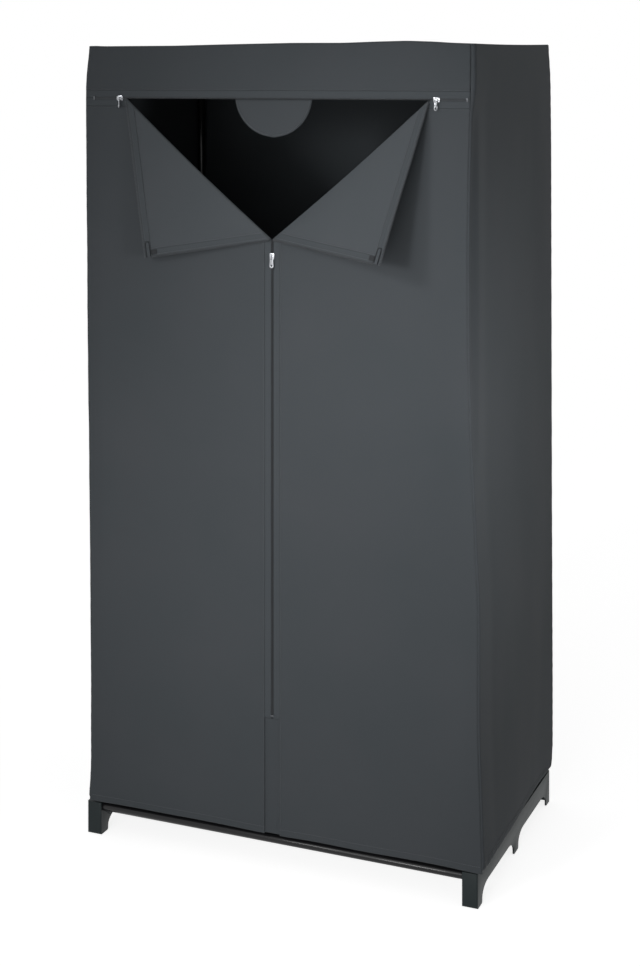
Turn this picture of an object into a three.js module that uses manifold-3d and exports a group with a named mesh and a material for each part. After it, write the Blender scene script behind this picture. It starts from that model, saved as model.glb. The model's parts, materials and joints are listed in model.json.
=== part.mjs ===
// A portable fabric wardrobe: a tube frame that plugs into moulded side pieces,
// under a zipped cloth cover whose two front corners are folded open.
// Millimetres, +Z up, front towards -Y, standing on z = 0.

import * as THREE from 'three';
import { mergeVertices } from 'three/addons/utils/BufferGeometryUtils.js';
import Module from 'manifold-3d';

const wasm = await Module();
wasm.setup();

// Overall sizes
const height = 1500;
const topWidth = 762;
const hemFlare = 12;
const hemWidth = topWidth + 2 * hemFlare;
const depth = 486;
const hemHeight = 65;
const clearance = 0.3;
const overrun = 1;
const degree = Math.PI / 180;

// Cloth cover
const clothThickness = 2;
const chainDrop = 99;
const cover = {
  frontFoldDepth: 3,
  sideFoldDepth: 4,
  backFoldDepth: 4,
  roofSag: 4,
  flapBelly: 5,
  foldEdge: 70,
  foldSeam: 0.4,
  foldLift: 0.3,
};
const frontFoldShares = [0.9, 1.7];
const sideFoldShares = [2.5, 1];
const backFoldShares = [4, 1.5];

// Zip: two woven tapes, each with a row of teeth along one edge
const zip = {
  width: 30,
  tapeThickness: 0.8,
  toothReach: 2.6,
  toothThickness: 2.6,
  meshGap: 1.2,
  bottomHeight: 275,
  stopLength: 4.4,
  stopWidth: 7.2,
  stopThickness: 1.4,
  stopMargin: 3,
  sideMargin: 3,
  foldMargin: 7,
  tabWidth: 8.6,
  tabLength: 30,
  shortTabLength: 12,
  tabThickness: 0.9,
  tabInset: 5,
};

// Corners folded open
const foldInset = 78;
const foldReach = topWidth / 2 - foldInset;
const foldFootDrop = 356;
const standOff = { left: 4 * degree, right: 25 * degree };

// Half-round tongue behind the zips
const tongue = {
  radius: 77,
  centreDrop: 91,
  thickness: 1.6,
  sliderRoom: 0.6,
  topDrop: 70,
  hemHeight: 11,
};

// Zip sliders and their pulls
const slider = {
  length: 12,
  shoulderWidth: 9.6,
  tailWidth: 8.4,
  plate: 1.2,
  cornerRadius: 2,
  post: 0.6,
  postLength: 2.4,
  bridgeLength: 9.2,
  bridgeRoom: 3.4,
  bridgeBar: 1.6,
  bridgeRound: 1.5,
  restDrop: 29,
  restBeyond: 12,
};
const pull = {
  thickness: 1.2,
  headHalf: 3.3,
  neckHalf: 3.1,
  endHalf: 4.2,
  barHalf: 0.65,
  windowHalf: 2,
  windowEnd: 5.8,
  neckDrop: 8.5,
  endDrop: 16.8,
  holeRadius: 1.8,
  seat: 1.3,
  play: 0.5,
  corner: 1.3,
  turn: 52 * degree,
};

// Tube frame
const tube = {
  radius: 8,
  wall: 1,
  sideInset: 12,
  uprightInset: 39,
  crossInset: 16,
  insertion: 14,
  joinHeight: 742,
  joinGap: 1,
};
const sleeve = {
  wall: 1.8,
  length: 74,
};
const bottomTubeHeight = 51;
const topTubeDrop = 16.5;
const rail = {
  drop: 54,
  lobeWall: 5.7,
};

// Moulded base side with three feet
const base = {
  hemInset: 5,
  postMargin: 10,
  height: 61,
  railHeight: 33,
  endInset: 4,
  footLength: 28,
  midFootLength: 30,
  flareLength: 34,
  flareHeight: 20,
  soleRadius: 4,
  edgeRadius: 3,
  wall: 2.6,
  rib: 2.2,
  ribCount: 6,
  ribDrop: 7,
  socketWall: 2.6,
  socketFloor: 31,
};

// Moulded top side
const topSide = {
  width: 23,
  height: 30,
  wall: 2.6,
  edgeRadius: 3,
  socketReach: 20,
  lobeInset: 3,
  rib: 2.2,
  ribCount: 6,
};

// Fineness
const roundSides = 20;
const cornerSteps = 4;
const flareSteps = 6;

const chainHeight = height - chainDrop;
const seamAbove = chainHeight + zip.width / 2;
const seamBelow = chainHeight - zip.width / 2;
const foldFoot = height - foldFootDrop;
const frontFace = -depth / 2;
const clothMiddle = frontFace + clothThickness / 2;
const panelTop = height - clothThickness - clearance;
const foldTop = panelTop - topSide.height - topSide.socketReach;
const foldSlope = foldReach / (chainHeight - foldFoot);
const foldSecant = Math.hypot(1, foldSlope);
const uprightReach = topWidth / 2 - tube.sideInset;
const baseOuter = hemWidth / 2 - base.hemInset;
const baseInner = uprightReach - base.postMargin;

// The zip's tapes and teeth, counted from the line where the two rows of teeth meet
const toothStart = zip.meshGap / 2;
const toothMiddle = toothStart + zip.toothReach / 2;
const toothEnd = toothStart + zip.toothReach;
const tapeEnd = zip.width / 2 - clearance;
const zipReach = topWidth / 2 - clothThickness - zip.sideMargin;
const headerTeethReach = zipReach - zip.stopMargin - zip.stopLength - clearance;
const teethFoot = zip.bottomHeight + zip.stopMargin + zip.stopLength + clearance;
const stopBack = clothMiddle - zip.tapeThickness / 2 - clearance;
const stopFront = stopBack - zip.stopThickness;

// The slider's room around tape and teeth, and its faces, counted from the cloth's middle
const channelHalf = zip.toothThickness / 2 + clearance;
const channelReach = toothEnd + clearance;
const lipStart = zip.tapeThickness / 2 + clearance;
const plateFace = channelHalf + slider.plate;
const bridgeAxis = plateFace + slider.bridgeRoom + slider.bridgeBar / 2;

// Half the cover's width at a height: the sides flare a little towards the hem
function halfWidthAt(z) {
  const share = (z - hemHeight) / (height - hemHeight);
  return THREE.MathUtils.lerp(hemWidth, topWidth, share) / 2;
}

// X of the fold line at a height, moved off the line by a distance
function foldAt(z, off) {
  return (z - foldFoot) * foldSlope + off * foldSecant;
}

// Height of the fold line at an x, moved off the line by a distance
function foldHeightAt(x, off) {
  return foldFoot + (x - off * foldSecant) / foldSlope;
}

// Geometry helpers

const alongX = new THREE.Matrix4().makeBasis(
  new THREE.Vector3(0, 1, 0), new THREE.Vector3(0, 0, 1), new THREE.Vector3(1, 0, 0));
const towardsFront = new THREE.Matrix4().makeBasis(
  new THREE.Vector3(1, 0, 0), new THREE.Vector3(0, 0, 1), new THREE.Vector3(0, -1, 0));

function shapeOf(points) {
  return new THREE.Shape(points.map(([a, b]) => new THREE.Vector2(a, b)));
}

function extrude(shape, length) {
  return new THREE.ExtrudeGeometry(shape, {
    depth: length, bevelEnabled: false, curveSegments: cornerSteps,
  });
}

// A (y, z) outline run along X from one x to another
function runAlongX(shape, from, to) {
  return extrude(shape, to - from).applyMatrix4(alongX).translate(from, 0, 0);
}

// An (x, z) outline given thickness between a front y and a back y
function plateFacingFront(shape, front, back) {
  return extrude(shape, back - front).applyMatrix4(towardsFront).translate(0, back, 0);
}

// An (x, y) outline raised from one z to another
function raise(shape, from, to) {
  return extrude(shape, to - from).translate(0, 0, from);
}

function box(x0, x1, y0, y1, z0, z1) {
  const made = new THREE.BoxGeometry(x1 - x0, y1 - y0, z1 - z0);
  return made.translate((x0 + x1) / 2, (y0 + y1) / 2, (z0 + z1) / 2);
}

function roundedRectangle(x0, x1, y0, y1, radius) {
  const shape = new THREE.Shape();
  shape.moveTo(x0 + radius, y0);
  shape.lineTo(x1 - radius, y0);
  shape.absarc(x1 - radius, y0 + radius, radius, -Math.PI / 2, 0, false);
  shape.lineTo(x1, y1 - radius);
  shape.absarc(x1 - radius, y1 - radius, radius, 0, Math.PI / 2, false);
  shape.lineTo(x0 + radius, y1);
  shape.absarc(x0 + radius, y1 - radius, radius, Math.PI / 2, Math.PI, false);
  shape.lineTo(x0, y0 + radius);
  shape.absarc(x0 + radius, y0 + radius, radius, Math.PI, Math.PI * 1.5, false);
  return shape;
}

function rod(radius, from, to) {
  return new THREE.CylinderGeometry(radius, radius, to - from, roundSides)
    .rotateX(Math.PI / 2)
    .translate(0, 0, (from + to) / 2);
}

// A pipe along Z whose section closes on itself
function pipe(outer, inner, from, to) {
  const section = [[inner, from], [outer, from], [outer, to], [inner, to], [inner, from]];
  const points = section.map(([r, z]) => new THREE.Vector2(r, z));
  return new THREE.LatheGeometry(points, roundSides).rotateX(Math.PI / 2);
}

function lyingAlongX(geometry) {
  return geometry.rotateY(Math.PI / 2);
}

function solid(geometry) {
  const bare = geometry.clone();
  bare.deleteAttribute('normal');
  bare.deleteAttribute('uv');
  const merged = mergeVertices(bare);
  return new wasm.Manifold(new wasm.Mesh({
    numProp: 3,
    vertProperties: new Float32Array(merged.attributes.position.array),
    triVerts: new Uint32Array(merged.index.array),
  }));
}

function joined(...geometries) {
  return geometries.map(solid).reduce((whole, piece) => whole.add(piece));
}

function geometryOf(manifold) {
  const mesh = manifold.getMesh();
  const geometry = new THREE.BufferGeometry();
  geometry.setAttribute('position', new THREE.BufferAttribute(mesh.vertProperties, 3));
  geometry.setIndex(new THREE.BufferAttribute(mesh.triVerts, 1));
  const flat = geometry.toNonIndexed();
  flat.computeVertexNormals();
  return flat;
}

// A closed sheet: a grid of outer points, and the same grid moved by the cloth's thickness
function sheet(across, up, outerPoint, thickness) {
  const positions = [];
  for (const offset of [new THREE.Vector3(), thickness]) {
    for (let row = 0; row <= up; row++) {
      for (let column = 0; column <= across; column++) {
        positions.push(...outerPoint(column, row).add(offset).toArray());
      }
    }
  }
  const layer = (across + 1) * (up + 1);
  const at = (column, row, side) => side * layer + row * (across + 1) + column;
  const index = [];
  const quad = (a, b, c, d) => index.push(a, b, c, a, c, d);
  for (let row = 0; row < up; row++) {
    for (let column = 0; column < across; column++) {
      const corner = (side) => [
        at(column, row, side), at(column + 1, row, side),
        at(column + 1, row + 1, side), at(column, row + 1, side)];
      quad(...corner(0));
      quad(...corner(1).reverse());
    }
  }
  for (let column = 0; column < across; column++) {
    quad(at(column, 0, 0), at(column, 0, 1), at(column + 1, 0, 1), at(column + 1, 0, 0));
    quad(at(column, up, 0), at(column + 1, up, 0), at(column + 1, up, 1), at(column, up, 1));
  }
  for (let row = 0; row < up; row++) {
    quad(at(0, row, 0), at(0, row + 1, 0), at(0, row + 1, 1), at(0, row, 1));
    quad(at(across, row, 0), at(across, row, 1), at(across, row + 1, 1), at(across, row + 1, 0));
  }
  const geometry = new THREE.BufferGeometry();
  geometry.setAttribute('position', new THREE.Float32BufferAttribute(positions, 3));
  geometry.setIndex(signedVolume(positions, index) < 0 ? index.reverse() : index);
  geometry.computeVertexNormals();
  return geometry;
}

function signedVolume(positions, index) {
  const corner = (i) => new THREE.Vector3().fromArray(positions, index[i] * 3);
  let sum = 0;
  for (let i = 0; i < index.length; i += 3) {
    sum += corner(i).dot(corner(i + 1).cross(corner(i + 2)));
  }
  return sum;
}

// Rises from 0 at an edge to 1 a fold's width inside it
function fromEdge(distance) {
  return THREE.MathUtils.smoothstep(distance, 0, cover.foldEdge);
}

// Depth of soft folds: two waves, always on the inner side of the flat cloth
function folds(share, turn, shares, foldDepth) {
  const wave = (count, phase) => (1 - Math.cos((share * count + phase) * 2 * Math.PI)) / 2;
  return foldDepth * (wave(shares[0], turn / 4) * 2 + wave(shares[1], turn)) / 3;
}

// Materials

function finish(color, roughness, metalness) {
  return () => new THREE.MeshStandardMaterial({ color, roughness, metalness, flatShading: true });
}

const clothFinish = finish(0x3d4043, 0.9, 0);
const tapeFinish = finish(0x303336, 0.8, 0);
const tubeFinish = finish(0x0c0d0e, 0.22, 0.3);
const mouldedFinish = finish(0x1d2022, 0.45, 0);
const sliderFinish = finish(0xc9ccce, 0.25, 1);
const tabFinish = finish(0x17191b, 0.5, 0);

function piece(name, geometry, material) {
  const mesh = new THREE.Mesh(geometry, material());
  mesh.name = name;
  return mesh;
}

const wardrobe = new THREE.Group();

// Base sides

// One foot's outline seen from the side, from the rail's underside down and up again
function footPath(shape, front, back, flareFront, flareBack) {
  const underside = base.height - base.railHeight;
  const start = underside - base.flareHeight;
  if (flareFront) {
    shape.lineTo(front - base.flareLength, underside);
    flare(shape, front - base.flareLength, underside, front, start, true);
  }
  shape.lineTo(front, base.soleRadius);
  shape.absarc(front + base.soleRadius, base.soleRadius, base.soleRadius,
    Math.PI, Math.PI * 1.5, false);
  shape.lineTo(back - base.soleRadius, 0);
  shape.absarc(back - base.soleRadius, base.soleRadius, base.soleRadius,
    -Math.PI / 2, 0, false);
  if (flareBack) {
    shape.lineTo(back, start);
    flare(shape, back, start, back + base.flareLength, underside, false);
  }
}

// A quarter of an ellipse that sweeps a foot into the rail
function flare(shape, fromY, fromZ, toY, toZ, goingDown) {
  for (let step = 1; step <= flareSteps; step++) {
    const angle = (step / flareSteps) * Math.PI / 2;
    const near = goingDown ? Math.sin(angle) : 1 - Math.cos(angle);
    const far = goingDown ? 1 - Math.cos(angle) : Math.sin(angle);
    shape.lineTo(fromY + (toY - fromY) * near, fromZ + (toZ - fromZ) * far);
  }
}

function baseProfile() {
  const end = depth / 2 - base.endInset;
  const shape = new THREE.Shape();
  shape.moveTo(-end, base.height);
  footPath(shape, -end, -end + base.footLength, false, true);
  footPath(shape, -base.midFootLength / 2, base.midFootLength / 2, true, true);
  footPath(shape, end - base.footLength, end, true, false);
  shape.lineTo(end, base.height);
  return shape;
}

function baseSide() {
  const end = depth / 2 - base.endInset;
  const outer = baseOuter;
  const inner = baseInner;
  const upright = depth / 2 - tube.uprightInset;
  const cross = depth / 2 - tube.crossInset;
  const ceiling = base.height - base.wall;
  const bore = tube.radius + clearance;
  const plan = roundedRectangle(inner, outer, -end, end, base.edgeRadius);
  const profile = solid(runAlongX(baseProfile(), inner, outer));
  const shell = profile.intersect(solid(raise(plan, -overrun, base.height + overrun)));
  const hollow = solid(box(inner + base.wall, outer - base.wall,
    -end + base.wall, end - base.wall, -overrun, ceiling));
  let body = shell.subtract(hollow);
  for (let rib = 1; rib <= base.ribCount; rib++) {
    const y = THREE.MathUtils.lerp(-upright, upright, rib / (base.ribCount + 1));
    const low = base.height - base.railHeight + base.ribDrop;
    body = body.add(solid(box(inner + base.wall / 2, outer - base.wall / 2,
      y - base.rib / 2, y + base.rib / 2, low, ceiling + base.wall / 2)));
  }
  for (const side of [-1, 1]) {
    const socket = rod(bore + base.socketWall, base.socketFloor - base.socketWall, base.height)
      .translate(uprightReach, side * upright, 0);
    const crossSocket = lyingAlongX(rod(bore + base.socketWall, inner, inner + tube.insertion))
      .translate(0, side * cross, bottomTubeHeight);
    const room = solid(box(inner - overrun, outer, -end, end, 0, base.height));
    body = body.add(solid(socket)).add(solid(crossSocket).intersect(room));
  }
  for (const side of [-1, 1]) {
    const uprightBore = rod(bore, base.socketFloor, base.height + overrun)
      .translate(uprightReach, side * upright, 0);
    const crossBore = lyingAlongX(rod(bore, inner - overrun, inner + tube.insertion - base.wall))
      .translate(0, side * cross, bottomTubeHeight);
    body = body.subtract(solid(uprightBore)).subtract(solid(crossBore));
  }
  return body;
}

// Top sides

function topSidePiece() {
  const top = panelTop;
  const low = top - topSide.height;
  const outer = halfWidthAt(height) - clothThickness - clearance;
  const inner = outer - topSide.width;
  const end = depth / 2 - clothThickness - clearance;
  const upright = depth / 2 - tube.uprightInset;
  const cross = depth / 2 - tube.crossInset;
  const crossHeight = top - topTubeDrop;
  const railHeight = height - rail.drop;
  const bore = tube.radius + clearance;
  const plan = roundedRectangle(inner, outer, -end, end, topSide.edgeRadius);
  const shell = solid(raise(plan, low, top));
  const hollow = solid(box(inner + topSide.wall, outer - topSide.wall,
    -end + topSide.wall, end - topSide.wall, low - overrun, top - topSide.wall));
  let body = shell.subtract(hollow);
  for (let rib = 1; rib <= topSide.ribCount; rib++) {
    const y = THREE.MathUtils.lerp(-upright, upright, rib / (topSide.ribCount + 1));
    body = body.add(solid(box(inner + topSide.wall / 2, outer - topSide.wall / 2,
      y - topSide.rib / 2, y + topSide.rib / 2, low + topSide.wall, top - topSide.wall / 2)));
  }
  const lobeRadius = bore + rail.lobeWall;
  const lobe = new THREE.Shape();
  lobe.moveTo(-lobeRadius, low + topSide.wall);
  lobe.lineTo(-lobeRadius, railHeight);
  lobe.absarc(0, railHeight, lobeRadius, Math.PI, Math.PI * 2, false);
  lobe.lineTo(lobeRadius, low + topSide.wall);
  body = body.add(solid(runAlongX(lobe, inner, outer - topSide.lobeInset)));
  const room = solid(box(inner - overrun, outer, -end, end, low - topSide.height, top));
  for (const side of [-1, 1]) {
    const socket = rod(bore + topSide.wall, low - topSide.socketReach, top - topSide.wall / 2)
      .translate(uprightReach, side * upright, 0);
    const crossSocket = lyingAlongX(rod(bore + topSide.wall, inner, inner + tube.insertion))
      .translate(0, side * cross, crossHeight);
    body = body.add(solid(socket).intersect(room)).add(solid(crossSocket).intersect(room));
  }
  for (const side of [-1, 1]) {
    const uprightBore = rod(bore, low - topSide.socketReach - overrun, top - topSide.wall)
      .translate(uprightReach, side * upright, 0);
    const crossBore = lyingAlongX(rod(bore, inner - overrun, inner + tube.insertion - topSide.wall))
      .translate(0, side * cross, crossHeight);
    body = body.subtract(solid(uprightBore)).subtract(solid(crossBore));
  }
  const railBore = lyingAlongX(rod(bore, inner - overrun, inner + tube.insertion - topSide.wall))
    .translate(0, 0, railHeight);
  return body.subtract(solid(railBore));
}

function addSidePieces() {
  const baseSolid = baseSide();
  const topSolid = topSidePiece();
  for (const [word, side] of [['left', -1], ['right', 1]]) {
    const place = (whole) => (side < 0 ? whole.rotate([0, 0, 180]) : whole);
    wardrobe.add(piece(`base_side_${word}`, geometryOf(place(baseSolid)), mouldedFinish));
    wardrobe.add(piece(`top_side_${word}`, geometryOf(place(topSolid)), mouldedFinish));
  }
}

// Tubes

function addTubes() {
  const upright = depth / 2 - tube.uprightInset;
  const cross = depth / 2 - tube.crossInset;
  const inside = tube.radius - tube.wall;
  const lowStart = base.socketFloor + clearance;
  const highEnd = panelTop - topSide.wall - clearance;
  const lowEnd = tube.joinHeight - tube.joinGap / 2;
  const highStart = tube.joinHeight + tube.joinGap / 2;
  const bore = tube.radius + clearance;
  for (const [across, side] of [['left', -1], ['right', 1]]) {
    for (const [along, way] of [['front', -1], ['back', 1]]) {
      const stand = (mesh) => {
        mesh.position.set(side * uprightReach, way * upright, 0);
        wardrobe.add(mesh);
      };
      stand(piece(`lower_post_${along}_${across}`,
        pipe(tube.radius, inside, lowStart, lowEnd), tubeFinish));
      stand(piece(`upper_post_${along}_${across}`,
        pipe(tube.radius, inside, highStart, highEnd), tubeFinish));
      stand(piece(`post_sleeve_${along}_${across}`,
        pipe(bore + sleeve.wall, bore, tube.joinHeight - sleeve.length / 2,
          tube.joinHeight + sleeve.length / 2), mouldedFinish));
    }
  }
  const bottomReach = baseInner + tube.insertion - base.wall - clearance;
  const topInner = halfWidthAt(height) - clothThickness - clearance - topSide.width;
  const topReach = topInner + tube.insertion - topSide.wall - clearance;
  const lay = (name, reach, y, z) => {
    const mesh = piece(name, lyingAlongX(pipe(tube.radius, inside, -reach, reach)), tubeFinish);
    mesh.position.set(0, y, z);
    wardrobe.add(mesh);
  };
  for (const [along, way] of [['front', -1], ['back', 1]]) {
    lay(`bottom_tube_${along}`, bottomReach, way * cross, bottomTubeHeight);
    lay(`top_tube_${along}`, topReach, way * cross, panelTop - topTubeDrop);
  }
  lay('hanging_rail', topReach, 0, height - rail.drop);
}

// Cloth panels of the cover

// Rows of heights, with one row exactly on each break
function rowsBetween(breaks, counts) {
  const rows = [breaks[0]];
  counts.forEach((count, part) => {
    for (let step = 1; step <= count; step++) {
      rows.push(THREE.MathUtils.lerp(breaks[part], breaks[part + 1], step / count));
    }
  });
  return rows;
}

const frontColumns = 9;
const frontRowCounts = [9, 5];

function frontPanel(side) {
  const start = zip.width / 2;
  const turnHeight = foldHeightAt(start, cover.foldSeam);
  const rows = rowsBetween([hemHeight, turnHeight, seamBelow], frontRowCounts);
  return sheet(frontColumns, rows.length - 1, (column, row) => {
    const z = rows[row];
    const near = Math.max(start, foldAt(z, cover.foldSeam));
    const far = halfWidthAt(z);
    const share = column / frontColumns;
    const x = THREE.MathUtils.lerp(near, far, share);
    const edge = Math.min(
      fromEdge(x - near), fromEdge(far - x), fromEdge(seamBelow - z));
    const fold = folds(share, z / height, frontFoldShares, cover.frontFoldDepth) * edge;
    return new THREE.Vector3(side * x, frontFace + fold, z);
  }, new THREE.Vector3(0, clothThickness, 0));
}

const sideColumns = 12;
const sideRowCounts = [11, 1];

function sidePanel(side) {
  const end = depth / 2 - clothThickness - clearance;
  const rows = rowsBetween([hemHeight, foldTop, panelTop], sideRowCounts);
  return sheet(sideColumns, rows.length - 1, (column, row) => {
    const z = rows[row];
    const share = column / sideColumns;
    const y = THREE.MathUtils.lerp(-end, end, share);
    const edge = Math.min(fromEdge(end - Math.abs(y)), fromEdge(foldTop - z));
    const fold = folds(share, z / height, sideFoldShares, cover.sideFoldDepth) * edge;
    return new THREE.Vector3(side * (halfWidthAt(z) - fold), y, z);
  }, new THREE.Vector3(-side * clothThickness, 0, 0));
}

const backColumns = 14;
const backRowCounts = [9, 1];

function backPanel() {
  const rows = rowsBetween([hemHeight, foldTop, panelTop], backRowCounts);
  return sheet(backColumns, rows.length - 1, (column, row) => {
    const z = rows[row];
    const share = column / backColumns;
    const half = halfWidthAt(z);
    const x = THREE.MathUtils.lerp(-half, half, share);
    const edge = Math.min(fromEdge(half - Math.abs(x)), fromEdge(foldTop - z));
    const fold = folds(share, z / height, backFoldShares, cover.backFoldDepth) * edge;
    return new THREE.Vector3(x, -frontFace - fold, z);
  }, new THREE.Vector3(0, -clothThickness, 0));
}

const roofCounts = [1, 6, 1];

// The roof lies flat on its rim and sags a little inside the frame
function roofPanel() {
  const half = halfWidthAt(height);
  const level = half - clothThickness - clearance - topSide.width;
  const columns = rowsBetween([-half, -level, level, half], roofCounts);
  const rim = depth / 2 - clothThickness - clearance;
  const rows = rowsBetween([frontFace, -rim, rim, -frontFace], roofCounts);
  return sheet(columns.length - 1, rows.length - 1, (column, row) => {
    const x = columns[column];
    const y = rows[row];
    const sag = cover.roofSag * fromEdge(level - Math.abs(x)) * fromEdge(rim - Math.abs(y));
    return new THREE.Vector3(x, y, height - sag);
  }, new THREE.Vector3(0, 0, -clothThickness));
}

function headerPanel() {
  const low = halfWidthAt(seamAbove);
  const high = halfWidthAt(panelTop);
  const band = shapeOf([[-low, seamAbove], [low, seamAbove], [high, panelTop], [-high, panelTop]]);
  return plateFacingFront(band, frontFace, frontFace + clothThickness);
}

function placket() {
  const half = zip.width / 2 - clearance;
  return box(-half, half, frontFace, frontFace + clothThickness, hemHeight, zip.bottomHeight);
}

function tonguePanel() {
  const back = clothMiddle + plateFace + tongue.sliderRoom + tongue.thickness;
  const centre = height - tongue.centreDrop;
  const top = height - tongue.topDrop;
  const shape = new THREE.Shape();
  shape.moveTo(tongue.radius, top);
  shape.lineTo(-tongue.radius, top);
  shape.lineTo(-tongue.radius, centre);
  shape.absarc(0, centre, tongue.radius, Math.PI, Math.PI * 2, false);
  const drop = new THREE.ExtrudeGeometry(shape, {
    depth: tongue.thickness, bevelEnabled: false, curveSegments: roundSides,
  }).applyMatrix4(towardsFront).translate(0, back, 0);
  const sewn = box(-tongue.radius, tongue.radius,
    frontFace + clothThickness + clearance, back, top - tongue.hemHeight, top);
  return geometryOf(joined(drop, sewn));
}

function addCover() {
  for (const [word, side] of [['left', -1], ['right', 1]]) {
    wardrobe.add(piece(`cover_front_${word}`, frontPanel(side), clothFinish));
    wardrobe.add(piece(`cover_side_${word}`, sidePanel(side), clothFinish));
  }
  wardrobe.add(piece('cover_back', backPanel(), clothFinish));
  wardrobe.add(piece('cover_roof', roofPanel(), clothFinish));
  wardrobe.add(piece('cover_header', headerPanel(), clothFinish));
  wardrobe.add(piece('cover_placket', placket(), clothFinish));
  wardrobe.add(piece('cover_tongue', tonguePanel(), clothFinish));
}

// Zips

// A tape with its row of teeth, from their two outlines in the plane of the front
function halfZip(tapePoints, toothPoints) {
  const halfTape = zip.tapeThickness / 2;
  const halfTooth = zip.toothThickness / 2;
  const tape = plateFacingFront(shapeOf(tapePoints),
    clothMiddle - halfTape, clothMiddle + halfTape);
  const teeth = plateFacingFront(shapeOf(toothPoints),
    clothMiddle - halfTooth, clothMiddle + halfTooth);
  return joined(tape, teeth);
}

// An upright strip between two distances from the centre line, its ends given by functions of x
function uprightStrip(side, near, far, lowAt, highAt) {
  return [[near, lowAt(near)], [far, lowAt(far)], [far, highAt(far)], [near, highAt(near)]]
    .map(([x, z]) => [side * x, z]);
}

// A level strip between two heights, its ends given by functions of the height
function levelStrip(side, low, high, startAt, endAt) {
  return [[startAt(low), low], [endAt(low), low], [endAt(high), high], [startAt(high), high]]
    .map(([x, z]) => [side * x, z]);
}

// Half a zip that runs upwards, its tape's and teeth's low ends and its high end as functions of x
function uprightHalfZip(side, tapeLowAt, teethLowAt, highAt) {
  const tape = uprightStrip(side, toothMiddle, tapeEnd, tapeLowAt, highAt);
  const teeth = uprightStrip(side, toothStart, toothEnd, teethLowAt, highAt);
  return halfZip(tape, teeth);
}

// The lower half of a level zip, its ends as functions of the height
function levelHalfZip(side, startAt, tapeEndAt, teethEndAt) {
  const tape = levelStrip(side, chainHeight - tapeEnd, chainHeight - toothMiddle,
    startAt, tapeEndAt);
  const teeth = levelStrip(side, chainHeight - toothEnd, chainHeight - toothStart,
    startAt, teethEndAt);
  return halfZip(tape, teeth);
}

function headerUpperZip() {
  const tape = levelStrip(1, chainHeight + toothMiddle, chainHeight + tapeEnd,
    () => -zipReach, () => zipReach);
  const teeth = levelStrip(1, chainHeight + toothStart, chainHeight + toothEnd,
    () => -headerTeethReach, () => headerTeethReach);
  return halfZip(tape, teeth);
}

function headerStop(side) {
  const outer = side * (zipReach - zip.stopMargin);
  const inner = outer - side * zip.stopLength;
  return box(Math.min(inner, outer), Math.max(inner, outer), stopFront, stopBack,
    chainHeight - zip.stopWidth / 2, chainHeight + zip.stopWidth / 2);
}

function addZips() {
  const seam = cover.foldSeam;
  for (const [word, side] of [['left', -1], ['right', 1]]) {
    const centre = uprightHalfZip(side, () => zip.bottomHeight + clearance, () => teethFoot,
      (x) => foldHeightAt(x, seam));
    wardrobe.add(piece(`centre_zip_${word}`, geometryOf(centre), tapeFinish));
    const lower = levelHalfZip(side, (z) => foldAt(z, seam), () => zipReach,
      () => headerTeethReach);
    wardrobe.add(piece(`header_zip_lower_${word}`, geometryOf(lower), tapeFinish));
    wardrobe.add(piece(`header_stop_${word}`, headerStop(side), sliderFinish));
  }
  wardrobe.add(piece('header_zip_upper', geometryOf(headerUpperZip()), tapeFinish));
  const bottom = zip.bottomHeight + zip.stopMargin;
  wardrobe.add(piece('centre_stop', box(-zip.stopWidth / 2, zip.stopWidth / 2,
    stopFront, stopBack, bottom, bottom + zip.stopLength), sliderFinish));
}

// Folded corners

const flapColumns = 8;
const flapRows = 8;

function flapCloth(side) {
  const start = zip.width / 2;
  const foot = foldHeightAt(start, -cover.foldSeam);
  const tip = foot + start / flapRows;
  const rows = rowsBetween([tip, seamBelow], [flapRows]);
  return sheet(flapColumns, rows.length - 1, (column, row) => {
    const z = rows[row];
    const far = foldAt(z, -cover.foldSeam);
    const share = column / flapColumns;
    const x = THREE.MathUtils.lerp(start, far, share);
    const rise = (z - foot) / (seamBelow - foot);
    const belly = cover.flapBelly * Math.sin(share * Math.PI) * Math.sin(rise * Math.PI);
    return new THREE.Vector3(side * x, frontFace + belly, z);
  }, new THREE.Vector3(0, clothThickness, 0));
}

function addFlap(word, side) {
  const seam = cover.foldSeam;
  const pivot = new THREE.Vector3(0, frontFace - cover.foldLift, foldFoot);
  const axis = new THREE.Vector3(side * foldReach, 0, chainHeight - foldFoot).normalize();
  const hinge = new THREE.Group();
  hinge.position.copy(pivot);
  hinge.quaternion.setFromAxisAngle(axis, side * (Math.PI - standOff[word]));
  const hang = (name, geometry, material) => {
    const mesh = piece(name, geometry, material);
    mesh.position.copy(pivot).negate();
    hinge.add(mesh);
  };
  hang(`flap_${word}_cloth`, flapCloth(side), clothFinish);
  const top = seamBelow;
  const footAt = (x) => Math.max(foldHeightAt(x, -seam), foldFoot + zip.foldMargin);
  const sideZip = uprightHalfZip(side, footAt, footAt, () => top);
  hang(`flap_${word}_side_zip`, geometryOf(sideZip), tapeFinish);
  const endAt = (z) => Math.min(foldAt(z, -seam), foldReach - zip.foldMargin);
  const topZip = levelHalfZip(side, () => toothStart, endAt, endAt);
  hang(`flap_${word}_top_zip`, geometryOf(topZip), tapeFinish);
  const tabFront = clothMiddle + zip.tapeThickness / 2 + clearance;
  const tabBack = tabFront + zip.tabThickness;
  const longTab = levelStrip(side, chainHeight - zip.tabInset - zip.tabWidth,
    chainHeight - zip.tabInset, () => toothStart, () => toothStart + zip.tabLength);
  hang(`flap_${word}_long_tab`, plateFacingFront(shapeOf(longTab), tabFront, tabBack), tabFinish);
  const shortTab = uprightStrip(side, zip.tabInset, zip.tabInset + zip.tabWidth,
    () => top - zip.shortTabLength, () => top);
  hang(`flap_${word}_short_tab`, plateFacingFront(shapeOf(shortTab), tabFront, tabBack), tabFinish);
  wardrobe.add(hinge);
}

// Zip sliders: local Z along the zip, -Y outwards, shoulder towards +Z

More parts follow.
